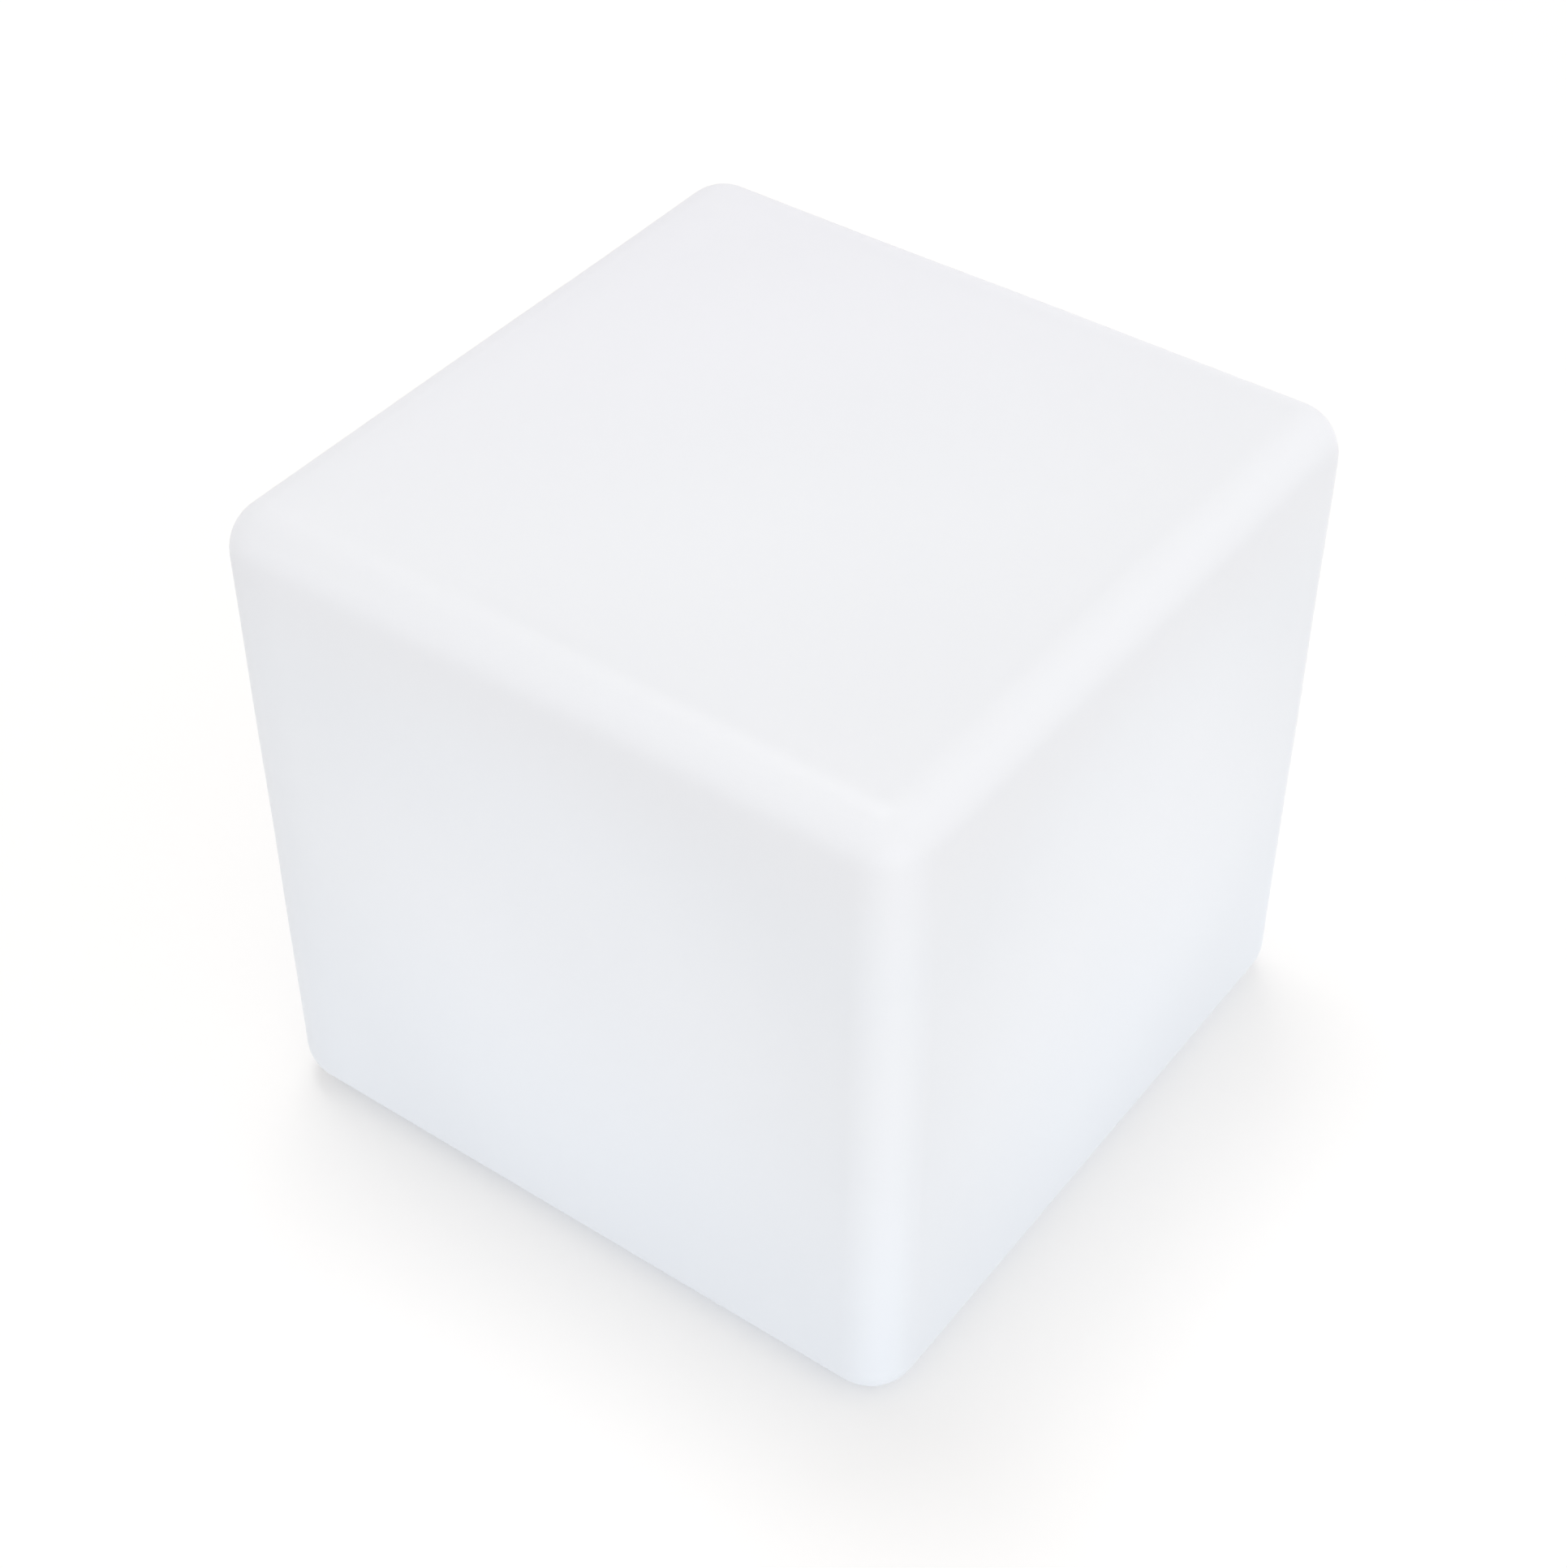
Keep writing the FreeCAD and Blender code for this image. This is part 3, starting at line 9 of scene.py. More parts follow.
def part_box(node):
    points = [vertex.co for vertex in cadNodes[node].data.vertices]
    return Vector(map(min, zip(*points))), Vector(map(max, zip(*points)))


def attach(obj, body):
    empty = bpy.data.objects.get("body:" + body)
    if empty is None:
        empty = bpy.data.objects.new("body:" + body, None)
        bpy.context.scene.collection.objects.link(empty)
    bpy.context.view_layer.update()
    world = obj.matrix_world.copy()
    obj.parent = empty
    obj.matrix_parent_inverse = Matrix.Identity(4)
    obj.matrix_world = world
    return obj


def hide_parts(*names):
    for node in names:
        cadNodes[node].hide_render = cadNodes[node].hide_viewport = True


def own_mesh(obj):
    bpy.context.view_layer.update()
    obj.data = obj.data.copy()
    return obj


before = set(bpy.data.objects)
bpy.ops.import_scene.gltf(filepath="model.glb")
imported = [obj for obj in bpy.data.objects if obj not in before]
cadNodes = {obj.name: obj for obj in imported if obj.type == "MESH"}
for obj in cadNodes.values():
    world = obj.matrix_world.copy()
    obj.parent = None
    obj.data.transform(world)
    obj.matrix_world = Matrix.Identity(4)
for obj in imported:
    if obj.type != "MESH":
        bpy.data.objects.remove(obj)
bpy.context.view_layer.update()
rootBody = "lamp_body"
scene = bpy.context.scene
scene.view_settings.view_transform = "Standard"
print("frame loaded:", len(cadNodes), "nodes")


cameraValues = {
    "azimuth": 35.72,           # degrees, 0 looks along +Y
    "elevation": 41.82,
    "roll": 0.206,
    "distance": 1.527,          # metres, from the cube's centre
    "focalPixels": 3594.0,      # in the photograph's pixels
    "photoWidth": 1931,
    "photoHeight": 1932,
    "centreRight": 13.0,        # pixels from the photograph's middle to the cube's centre
    "centreUp": 30.8,
    "sensor": 36.0,             # millimetres
    "clipEnd": 50.0,
}


def addCamera(values, target):
    # the camera first looks straight at the cube's centre, and is then turned so that the centre
    # moves off the middle
    azimuth = math.radians(values["azimuth"])
    elevation = math.radians(values["elevation"])
    roll = math.radians(values["roll"])
    back = Vector((math.sin(azimuth) * math.cos(elevation),
                   -math.cos(azimuth) * math.cos(elevation),
                   math.sin(elevation)))
    level = Vector((math.cos(azimuth), math.sin(azimuth), 0.0))
    upright = back.cross(level)
    right = level * math.cos(roll) + upright * math.sin(roll)
    up = upright * math.cos(roll) - level * math.sin(roll)
    aimed = Matrix((right, up, back)).transposed()
    towards = Vector((values["centreRight"], values["centreUp"], -values["focalPixels"]))
    turn = towards.normalized().rotation_difference(Vector((0.0, 0.0, -1.0))).to_matrix()
    data = bpy.data.cameras.new("camera")
    data.sensor_width = values["sensor"]
    longSide = max(values["photoWidth"], values["photoHeight"])
    data.lens = values["sensor"] * values["focalPixels"] / longSide
    data.clip_end = values["clipEnd"]
    camera = bpy.data.objects.new("camera", data)
    place = (aimed @ turn).to_4x4()
    place.translation = target + back * values["distance"]
    camera.matrix_world = place
    scene.collection.objects.link(camera)
    scene.camera = camera


cubeCentre = Vector([(a + b) / 2 for a, b in zip(*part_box("shell"))])
addCamera(cameraValues, cubeCentre)
print("camera placed")


# helpers for node trees
def feed(tree, socket, item):
    # an output is linked, a number or a colour is set
    if isinstance(item, bpy.types.NodeSocket):
        tree.links.new(item, socket)
    else:
        socket.default_value = item


def newGroup(name, inputs, outputs):
    # every group reads a vector; an input whose default is a tuple is a colour, any other a number
    group = bpy.data.node_groups.new(name, "ShaderNodeTree")
    group.interface.new_socket(name="Vector", in_out="INPUT", socket_type="NodeSocketVector")
    for socketName, default in inputs.items():
        kind = "NodeSocketColor" if isinstance(default, tuple) else "NodeSocketFloat"
        socket = group.interface.new_socket(name=socketName, in_out="INPUT", socket_type=kind)
        socket.default_value = default
    for socketName, kind in outputs.items():
        group.interface.new_socket(name=socketName, in_out="OUTPUT", socket_type=kind)
    start = group.nodes.new("NodeGroupInput")
    end = group.nodes.new("NodeGroupOutput")
    return group, start.outputs, end.inputs


def addMath(tree, operation, *items):
    node = tree.nodes.new("ShaderNodeMath")
    node.operation = operation
    for socket, item in zip(node.inputs, items):
        feed(tree, socket, item)
    return node.outputs[0]


def addBlend(tree, first, firstShare, second, secondShare):
    # first times its share plus second times its share
    return addMath(tree, "ADD", addMath(tree, "MULTIPLY", first, firstShare),
                   addMath(tree, "MULTIPLY", second, secondShare))


def addNoise(tree, vector, scale, detail, roughness=0.5):
    node = tree.nodes.new("ShaderNodeTexNoise")
    names = ("Vector", "Scale", "Detail", "Roughness")
    for name, item in zip(names, (vector, scale, detail, roughness)):
        feed(tree, node.inputs[name], item)
    return node.outputs["Fac"]


def addRange(tree, value, span, first=0.0, last=1.0, smooth=True):
    # goes from first to last over the span, and stays level beyond it
    node = tree.nodes.new("ShaderNodeMapRange")
    node.interpolation_type = "SMOOTHSTEP" if smooth else "LINEAR"
    names = ("Value", "From Min", "From Max", "To Min", "To Max")
    for name, item in zip(names, (value, *span, first, last)):
        feed(tree, node.inputs[name], item)
    return node.outputs["Result"]


def addMix(tree, share, first, second, unclamped=False):
    node = tree.nodes.new("ShaderNodeMix")
    node.data_type = "RGBA"
    node.clamp_factor = not unclamped
    for place, item in (("Factor", share), (6, first), (7, second)):     # 6 and 7 are its colours
        feed(tree, node.inputs[place], item)
    return node.outputs[2]


def addSplit(tree, vector):
    node = tree.nodes.new("ShaderNodeSeparateXYZ")
    tree.links.new(vector, node.inputs[0])
    return node.outputs


skinValues = {
    "pebbleDetail": 3.0,
    "pebbleRoughness": 0.55,
    "driftDetail": 2.0,
    "pebbleGloss": 0.35,        # how far the gloss follows the pebble
    "driftGloss": 0.65,         # and how far the drift
    "glossSpan": (0.3, 0.7),    # the noise, from smooth to dull
    "driftHeight": 0.5,         # against the pebble's 1
}


def makeMouldedSkin(values):
    # moulded plastic: a fine pebble from the tool, a little sink over it, and gloss that drifts
    # with both
    group, start, end = newGroup(
        "mouldedSkin", {"Grain": 900.0, "Smooth": 0.35, "Dull": 0.5, "Drift": 14.0},
        {"Roughness": "NodeSocketFloat", "Height": "NodeSocketFloat"})
    pebble = addNoise(group, start["Vector"], start["Grain"],
                      values["pebbleDetail"], values["pebbleRoughness"])
    drift = addNoise(group, start["Vector"], start["Drift"], values["driftDetail"])
    both = addBlend(group, pebble, values["pebbleGloss"], drift, values["driftGloss"])
    gloss = addRange(group, both, values["glossSpan"], start["Smooth"], start["Dull"], smooth=False)
    height = addMath(group, "ADD", pebble, addMath(group, "MULTIPLY", drift, values["driftHeight"]))
    feed(group, end["Roughness"], gloss)
    feed(group, end["Height"], height)
    return group


cloudValues = {
    "detail": 4.0,
    "roughness": 0.6,
    "span": (0.32, 0.68),       # the noise, from the first tone to the second
}


def makeClouding(values):
    # a colour that drifts softly between two near tones
    tone = (0.8, 0.8, 0.8, 1.0)
    group, start, end = newGroup(
        "clouding", {"Cloud": 20.0, "First": tone, "Second": tone}, {"Color": "NodeSocketColor"})
    cloud = addNoise(group, start["Vector"], start["Cloud"], values["detail"], values["roughness"])
    share = addRange(group, cloud, values["span"], smooth=False)
    feed(group, end["Color"], addMix(group, share, start["First"], start["Second"]))
    return group


markValues = {
    "streakDetail": 2.0,
    "streakRoughness": 0.4,
    "patchScale": 60.0,
    "patchDetail": 2.0,
    "streakGloss": 0.6,         # how far the gloss follows the streaks
    "patchGloss": 0.4,          # and how far the patches
    "glossSpan": (0.3, 0.7),
}


def makeToolMarks(values):
    # turned, drawn or brushed metal: thin streaks, drawn out by the look's stretch, with worn
    # patches between them
    group, start, end = newGroup(
        "toolMarks", {"Fine": 900.0, "Smooth": 0.2, "Dull": 0.4},
        {"Roughness": "NodeSocketFloat", "Height": "NodeSocketFloat"})
    streak = addNoise(group, start["Vector"], start["Fine"],
                      values["streakDetail"], values["streakRoughness"])
    patch = addNoise(group, start["Vector"], values["patchScale"], values["patchDetail"])
    both = addBlend(group, streak, values["streakGloss"], patch, values["patchGloss"])
    gloss = addRange(group, both, values["glossSpan"], start["Smooth"], start["Dull"], smooth=False)
    feed(group, end["Roughness"], gloss)
    feed(group, end["Height"], streak)
    return group


glowAndPaintedLightBands = {                   # metres from the cube's centre
    "lean": (-0.2, 0.1),        # along X, where the painted edge highlight grows, towards the lit right side
    "far": (-0.2, -0.15),       # along X, from the painted shade on the left wall to full light
    "top": (0.176, 0.1912),     # along Z, from full light to the dim top
    "tint": (-0.2, 0.05),       # along Z, from the low tint to the high one
}


def makeInnerGlowAndPaintedLight(bands):
    # light from inside a hollow box, with painted light laid over it: each face is brightest in its
    # middle, and the rounded edges are brighter, partly as glow through the thicker plastic and
    # partly as a painted highlight that grows towards +X; the left wall is darkened as painted
    # shade. A coordinate is past the flat at
    # "Flat Half", give or take the edge width, and two such coordinates together mean an edge
    white, black = (1.0, 1.0, 1.0, 1.0), (0.0, 0.0, 0.0, 1.0)
    group, start, end = newGroup(
        "innerGlow",
        {"Glow Middle": 0.2, "Glow Rim": 0.28, "Flat Half": 0.17, "Edge Width": 0.02,
         "Base Share": 0.7, "Middle Share": 0.4, "Edge Share": 0.5, "Top Share": 0.5,
         "Far Share": 0.7, "High Tint": white, "Low Tint": white},
        {"Color": "NodeSocketColor"})
    length = group.nodes.new("ShaderNodeVectorMath")
    length.operation = "LENGTH"
    feed(group, length.inputs[0], start["Vector"])
    x, y, z = addSplit(group, start["Vector"])

    glowSpan = start["Glow Middle"], start["Glow Rim"]
    middle = addRange(group, length.outputs["Value"], glowSpan, 1.0, 0.0)
    onFace = addMath(group, "ADD", addMath(group, "MULTIPLY", middle, start["Middle Share"]),
                     start["Base Share"])
    topFade = addRange(group, z, bands["top"], 1.0, start["Top Share"])
    # painted shade: the left wall's light is cut down towards the left
    paintedLeftShade = addRange(group, x, bands["far"], start["Far Share"], 1.0)
    onFace = addMath(group, "MULTIPLY", addMath(group, "MULTIPLY", onFace, topFade), paintedLeftShade)

    edgeSpan = [addMath(group, operation, start["Flat Half"], start["Edge Width"])
                for operation in ("SUBTRACT", "ADD")]
    past = [addRange(group, addMath(group, "ABSOLUTE", axis), edgeSpan) for axis in (x, y, z)]
    pairs = [addMath(group, "MULTIPLY", past[i], past[(i + 1) % 3]) for i in range(3)]
    edges = addMath(group, "MAXIMUM", addMath(group, "MAXIMUM", pairs[0], pairs[1]), pairs[2])
    # painted highlight, with glow: the rounded edges get extra light, more of it towards +X
    edgeGlowAndHighlight = addMath(group, "MULTIPLY", addMath(group, "MULTIPLY", edges, start["Edge Share"]),
                     addRange(group, x, bands["lean"]))

    tint = addMix(group, addRange(group, z, bands["tint"]), start["Low Tint"], start["High Tint"])
    level = addMath(group, "ADD", onFace, edgeGlowAndHighlight)
    feed(group, end["Color"], addMix(group, level, black, tint, unclamped=True))
    return group


mouldedSkin = makeMouldedSkin(skinValues)
clouding = makeClouding(cloudValues)
toolMarks = makeToolMarks(markValues)
innerGlow = makeInnerGlowAndPaintedLight(glowAndPaintedLightBands)
print("node groups built")


# materials
def newMaterial(name):
    material = bpy.data.materials.new(name)
    material.use_nodes = True
    tree = material.node_tree
    coordinates = tree.nodes.new("ShaderNodeTexCoord")
    return material, tree, tree.nodes["Principled BSDF"], coordinates.outputs["Object"]


def placeGroup(tree, group, vector, look):
    # each input takes the look's value of its name: "Flat Half" takes flatHalf
    node = tree.nodes.new("ShaderNodeGroup")
    node.node_tree = group
    tree.links.new(vector, node.inputs["Vector"])
    for socket in node.inputs:
        key = socket.name[0].lower() + socket.name[1:].replace(" ", "")
        if key in look:
            socket.default_value = look[key]
    return node


def addMapping(tree, vector, scale, location=(0.0, 0.0, 0.0)):
    mapping = tree.nodes.new("ShaderNodeMapping")
    mapping.inputs["Scale"].default_value = scale
    mapping.inputs["Location"].default_value = location
    tree.links.new(vector, mapping.inputs["Vector"])
    return mapping.outputs["Vector"]


def addColour(tree, vector, look):
    return placeGroup(tree, clouding, vector, look).outputs["Color"]


def addFinish(tree, shader, group, vector, look, height=None):
    # gloss from the group, a bump from its height or the one given, and the look's plain sockets
    finish = placeGroup(tree, group, vector, look)
    bump = tree.nodes.new("ShaderNodeBump")
    bump.inputs["Distance"].default_value = look["depth"]
    bump.inputs["Strength"].default_value = look.get("relief", 1.0)
    feed(tree, bump.inputs["Height"], finish.outputs["Height"] if height is None else height)
    feed(tree, shader.inputs["Normal"], bump.outputs["Normal"])
    feed(tree, shader.inputs["Roughness"], finish.outputs["Roughness"])
    for socketName, value in look.get("shader", {}).items():
        shader.inputs[socketName].default_value = value


def plasticMaterial(name, look):
    material, tree, shader, vector = newMaterial(name)
    feed(tree, shader.inputs["Base Color"], addColour(tree, vector, look))
    addFinish(tree, shader, mouldedSkin, vector, look)
    return material


def metalMaterial(name, look):
    material, tree, shader, vector = newMaterial(name)
    feed(tree, shader.inputs["Base Color"], addColour(tree, vector, look))
    addFinish(tree, shader, toolMarks, addMapping(tree, vector, look["stretch"]), look)
    shader.inputs["Metallic"].default_value = 1.0
    return material


plasticLooks = {
    "whiteAbs": {
        "first": (0.78, 0.79, 0.80, 1), "second": (0.73, 0.74, 0.755, 1), "cloud": 35.0,
        "grain": 1500.0, "smooth": 0.42, "dull": 0.56, "depth": 0.00006,
    },
    "greyAbs": {
        "first": (0.42, 0.43, 0.45, 1), "second": (0.38, 0.39, 0.41, 1), "cloud": 60.0,
        "grain": 2200.0, "smooth": 0.28, "dull": 0.4, "depth": 0.00003,
    },
    "greySilicone": {
        "first": (0.29, 0.30, 0.315, 1), "second": (0.25, 0.26, 0.275, 1), "cloud": 90.0,
        "grain": 2600.0, "smooth": 0.55, "dull": 0.72, "depth": 0.00003,
        "shader": {"Sheen Weight": 0.15, "Sheen Roughness": 0.5},
    },
    "blackNylon": {
        "first": (0.022, 0.022, 0.024, 1), "second": (0.032, 0.032, 0.034, 1), "cloud": 70.0,
        "grain": 2400.0, "smooth": 0.4, "dull": 0.6, "depth": 0.00004,
    },
    "whiteNylon": {
        "first": (0.72, 0.70, 0.64, 1), "second": (0.66, 0.64, 0.57, 1), "cloud": 120.0,
        "grain": 2600.0, "smooth": 0.35, "dull": 0.5, "depth": 0.00002,
    },
    "blueShrinkFilm": {
        "first": (0.012, 0.055, 0.26, 1), "second": (0.009, 0.043, 0.21, 1), "cloud": 45.0,
        "grain": 300.0, "smooth": 0.14, "dull": 0.3, "depth": 0.00012,
        "shader": {"Coat Weight": 0.4, "Coat Roughness": 0.12},
    },
    "whiteSolderMask": {
        "first": (0.82, 0.82, 0.80, 1), "second": (0.77, 0.77, 0.745, 1), "cloud": 55.0,
        "grain": 1200.0, "smooth": 0.2, "dull": 0.34, "depth": 0.00002,
    },
    "blackEpoxy": {
        "first": (0.028, 0.028, 0.03, 1), "second": (0.04, 0.04, 0.042, 1), "cloud": 200.0,
        "grain": 4200.0, "smooth": 0.45, "dull": 0.62, "depth": 0.00002,
    },
    "whiteJacket": {
        "first": (0.74, 0.74, 0.73, 1), "second": (0.68, 0.68, 0.67, 1), "cloud": 130.0,
        "grain": 1800.0, "smooth": 0.3, "dull": 0.44, "depth": 0.00002,
    },
    "redJacket": {
        "first": (0.42, 0.012, 0.01, 1), "second": (0.34, 0.01, 0.008, 1), "cloud": 130.0,
        "grain": 1800.0, "smooth": 0.28, "dull": 0.42, "depth": 0.00002,
    },
    "ledPhosphor": {            # phosphor that settles unevenly in the well of a white package
        "first": (0.78, 0.60, 0.10, 1), "second": (0.80, 0.79, 0.75, 1), "cloud": 420.0,
        "grain": 3000.0, "smooth": 0.3, "dull": 0.55, "depth": 0.00002,
    },
}

metalLooks = {                  # streaks are longest on the axis with the least stretch
    "stainlessSteel": {
        "first": (0.62, 0.62, 0.61, 1), "second": (0.52, 0.52, 0.515, 1), "cloud": 220.0,
        "stretch": (1.0, 1.0, 0.15), "fine": 2600.0, "smooth": 0.2, "dull": 0.38, "depth": 0.00001,
    },
    "turnedBrass": {
        "first": (0.72, 0.50, 0.20, 1), "second": (0.62, 0.42, 0.16, 1), "cloud": 180.0,
        "stretch": (1.0, 1.0, 3.0), "fine": 1800.0, "smooth": 0.18, "dull": 0.34, "depth": 0.00001,
    },
    "cellSteel": {
        "first": (0.50, 0.50, 0.50, 1), "second": (0.43, 0.43, 0.44, 1), "cloud": 90.0,
        "stretch": (0.1, 1.0, 1.0), "fine": 1600.0, "smooth": 0.25, "dull": 0.42, "depth": 0.00001,
    },
    "nickelStrip": {
        "first": (0.58, 0.56, 0.52, 1), "second": (0.48, 0.46, 0.43, 1), "cloud": 260.0,
        "stretch": (1.0, 0.1, 1.0), "fine": 2200.0, "smooth": 0.2, "dull": 0.36, "depth": 0.00001,
    },
    "springWire": {
        "first": (0.55, 0.55, 0.55, 1), "second": (0.42, 0.42, 0.43, 1), "cloud": 500.0,
        "stretch": (1.0, 1.0, 1.0), "fine": 4200.0, "smooth": 0.22, "dull": 0.36, "depth": 0.000004,
    },
}


greenBoardLook = {
    "mask": (0.012, 0.10, 0.045, 1),
    "overCopper": (0.022, 0.17, 0.075, 1),      # the mask is lighter where copper lies under it
    "trackScale": 260.0,
    "copperFrom": 0.52,         # how far out in a cell the copper starts
    "grain": 1400.0, "smooth": 0.16, "dull": 0.28, "depth": 0.00003,
}


def greenBoardMaterial(name, look):
    # tracks and ground planes show through the mask as straight-edged patches
    material, tree, shader, vector = newMaterial(name)
    cells = tree.nodes.new("ShaderNodeTexVoronoi")
    cells.distance = "CHEBYCHEV"
    cells.inputs["Scale"].default_value = look["trackScale"]
    feed(tree, cells.inputs["Vector"], vector)
    copper = addMath(tree, "GREATER_THAN", cells.outputs["Distance"], look["copperFrom"])
    feed(tree, shader.inputs["Base Color"], addMix(tree, copper, look["mask"], look["overCopper"]))
    addFinish(tree, shader, mouldedSkin, vector, look, height=copper)
    return material


clearLook = {
    "grain": 500.0, "smooth": 0.04, "dull": 0.12, "depth": 0.00003,
    "shader": {"Base Color": (0.93, 0.95, 0.96, 1), "Transmission Weight": 1.0, "IOR": 1.58},
}


def clearMaterial(name, look):
    # clear polycarbonate with faint flow marks
    material, tree, shader, vector = newMaterial(name)
    addFinish(tree, shader, mouldedSkin, vector, look)
    return material


shellLook = {
    "first": (0.862, 0.874, 0.890, 1),
    "second": (0.850, 0.864, 0.882, 1),
    "cloud": 7.0,
    "topTint": (0.865, 0.863, 0.872, 1),        # painted light: the top's own colour, a little more neutral than the walls', for how light falls on it
    "backTint": (0.847, 0.836, 0.860, 1),       # painted shade on the top's rear corner, turned from the cool light
    "topSpan": (0.30, 0.385),   # metres of height, from the walls' colour to the top's painted colour
    "backSpan": (-0.12, 0.3),   # metres of Y less X, from the top's painted colour to its rear corner's painted shade
    "grain": 420.0,             # the satin pebble that moulded polyethylene takes from its tool
    "smooth": 0.36,
    "dull": 0.48,
    "drift": 5.0,
    "depth": 0.00012,
    "relief": 0.35,
    "heightScale": 0.98,        # how much heights count in the glow; the cube is lower than wide
    "glowMiddle": 0.197,        # metres from the cube's centre: full glow
    "glowRim": 0.275,           # none from here on
    "flatHalf": 0.184,
    "edgeWidth": 0.011,
    "baseShare": 0.82,
    "middleShare": 0.35,
    # the rounded edges' extra light: glow through the thicker plastic and a painted highlight
    "edgeShare": 0.5,
    "topShare": 0.3,            # the light module stands at the foot, so less reaches the top
    "farShare": 0.6,            # painted shade on the left wall: its light is cut to this share
    "highTint": (0.89, 0.91, 0.98, 1),
    "lowTint": (0.84, 0.99, 1.20, 1),
    "shader": {
        "Emission Strength": 0.12,
        "Subsurface Weight": 0.35,
        "Subsurface Radius": (1.0, 1.0, 1.0),
        "Subsurface Scale": 0.012,
        "IOR": 1.51,
        "Specular IOR Level": 0.3,
    },
}


def shellMaterial(name, look):
    # milky polyethylene: light goes a few millimetres into it, and a little comes through from
    # inside. The top has a painted colour of its own, with painted shade at its rear corner
    material, tree, shader, vector = newMaterial(name)
    x, y, z = addSplit(tree, vector)
    # painted shade at the top's rear corner, mixed into the top's painted colour
    rear = addRange(tree, addMath(tree, "SUBTRACT", y, x), look["backSpan"])
    topPaintedColour = addMix(tree, rear, look["topTint"], look["backTint"])
    # painted light: above this height the walls' colour gives way to the top's painted colour
    high = addRange(tree, z, look["topSpan"])
    colour = addMix(tree, high, addColour(tree, vector, look), topPaintedColour)
    feed(tree, shader.inputs["Base Color"], colour)
    squat = look["heightScale"]
    centred = addMapping(tree, vector, (1.0, 1.0, squat), (0.0, 0.0, -cubeCentre.z * squat))
    # the glow, with its painted highlight on the edges and painted shade on the left wall
    glow = placeGroup(tree, innerGlow, centred, look)
    feed(tree, shader.inputs["Emission Color"], glow.outputs["Color"])
    addFinish(tree, shader, mouldedSkin, vector, look)
    return material


materials = {name: plasticMaterial(name, look) for name, look in plasticLooks.items()}
materials.update({name: metalMaterial(name, look) for name, look in metalLooks.items()})
for makeMaterial, name, look in ((greenBoardMaterial, "greenSolderMask", greenBoardLook),
                                 (clearMaterial, "clearPolycarbonate", clearLook),
                                 (shellMaterial, "milkyPolyethylene", shellLook)):
    materials[name] = makeMaterial(name, look)
print("materials built:", len(materials))

nodesOfFinish = {
    "milkyPolyethylene": ["shell", "shell_base"],
    "whiteAbs": ["base_cover", "inner_housing"],
    "greyAbs": ["button_cap"],
    "greySilicone": ["cover_seal", "button_seal", "port_flap", "flap_anchor"],
    "blackNylon": ["battery_clamp", "push_switch", "switch_plunger", "charge_socket"],
    "whiteNylon": ["battery_plug", "led_plug"],
    "blueShrinkFilm": ["battery_wrap"],
    "whiteSolderMask": ["led_board"],
    "greenSolderMask": ["control_board"],
    "blackEpoxy": ["board_components"],
    "whiteJacket": ["led_leads"],
    "redJacket": ["battery_leads"],
    "ledPhosphor": ["led_chips", "indicator_led"],
    "clearPolycarbonate": ["diffuser_dome", "status_lens"],
    "stainlessSteel": ["cover_screws", "housing_screws", "led_board_screws", "dome_screws",
                       "clamp_screws", "board_screws"],
    "turnedBrass": ["threaded_inserts", "socket_pin"],
    "cellSteel": ["battery_cells"],
    "nickelStrip": ["cell_tabs"],
    "springWire": ["button_spring"],
}

for finish, names in nodesOfFinish.items():
    for name in names:
        slots = cadNodes[name].data.materials
        slots.clear()
        slots.append(materials[finish])
print("CAD nodes dressed:", sum(len(names) for names in nodesOfFinish.values()))


shellValues = {
    "width": 0.400,
    "height": 0.391,
    "edgeRadius": 0.027,
    "wall": 0.003,
    "standLand": 0.024,         # how wide the stand ring is
    "reliefDepth": 0.0025,      # how far the base is lifted inside it
    "reliefCorner": 0.034,
    "reliefInnerRound": 0.002,
    "reliefLipRound": 0.0012,
    "pocketRadius": 0.080,
    "pocketFlare": 0.002,
    "pocketLipRound": 0.004,
    "pocketRoofRound": 0.002,
    "seatHeight": 0.0265,       # the pocket's shoulder, seen from below
    "shoulderTop": 0.0305,      # and from inside the cube
    "openingRadius": 0.0576,
    "faceSink": 0.0004,         # how far the middle of each face lies inside the flat
    "waviness": 0.00012,
    "waves": ((31, 0, 17), (0, 23, -13), (19, -29, 47)),    # radians per metre along X, Y and Z
    "waveShifts": (0.7, 1.9, 0.0),
    "thirdWave": 0.6,           # its share, added to the product of the other two
    "tiny": 1e-9,               # metres; a shorter outward direction is none
    "squareOn": 0.999999,       # a point whose outward direction is this near an axis is on a face
    "sidePoints": 40,           # per straight side of a ring
    "cornerPoints": 16,         # per corner of a ring
    "sharpAngle": 40.0,
}

# how many rings each stretch or arc of the profile has, outside and inside the wall
outerCounts = {"seat": 4, "roof": 6, "pocket": 3, "mouth": 9, "base": 8, "relief": 6, "land": 4,
               "edge": 13, "wall": 24}
innerCounts = {"seat": 4, "roof": 7, "pocket": 0, "mouth": 4, "base": 4, "relief": 7, "land": 2,
               "edge": 9, "wall": 0}

seamValues = {
    "mergeWithin": 0.00002,     # metres
    "dropBelow": 0.000005,
}


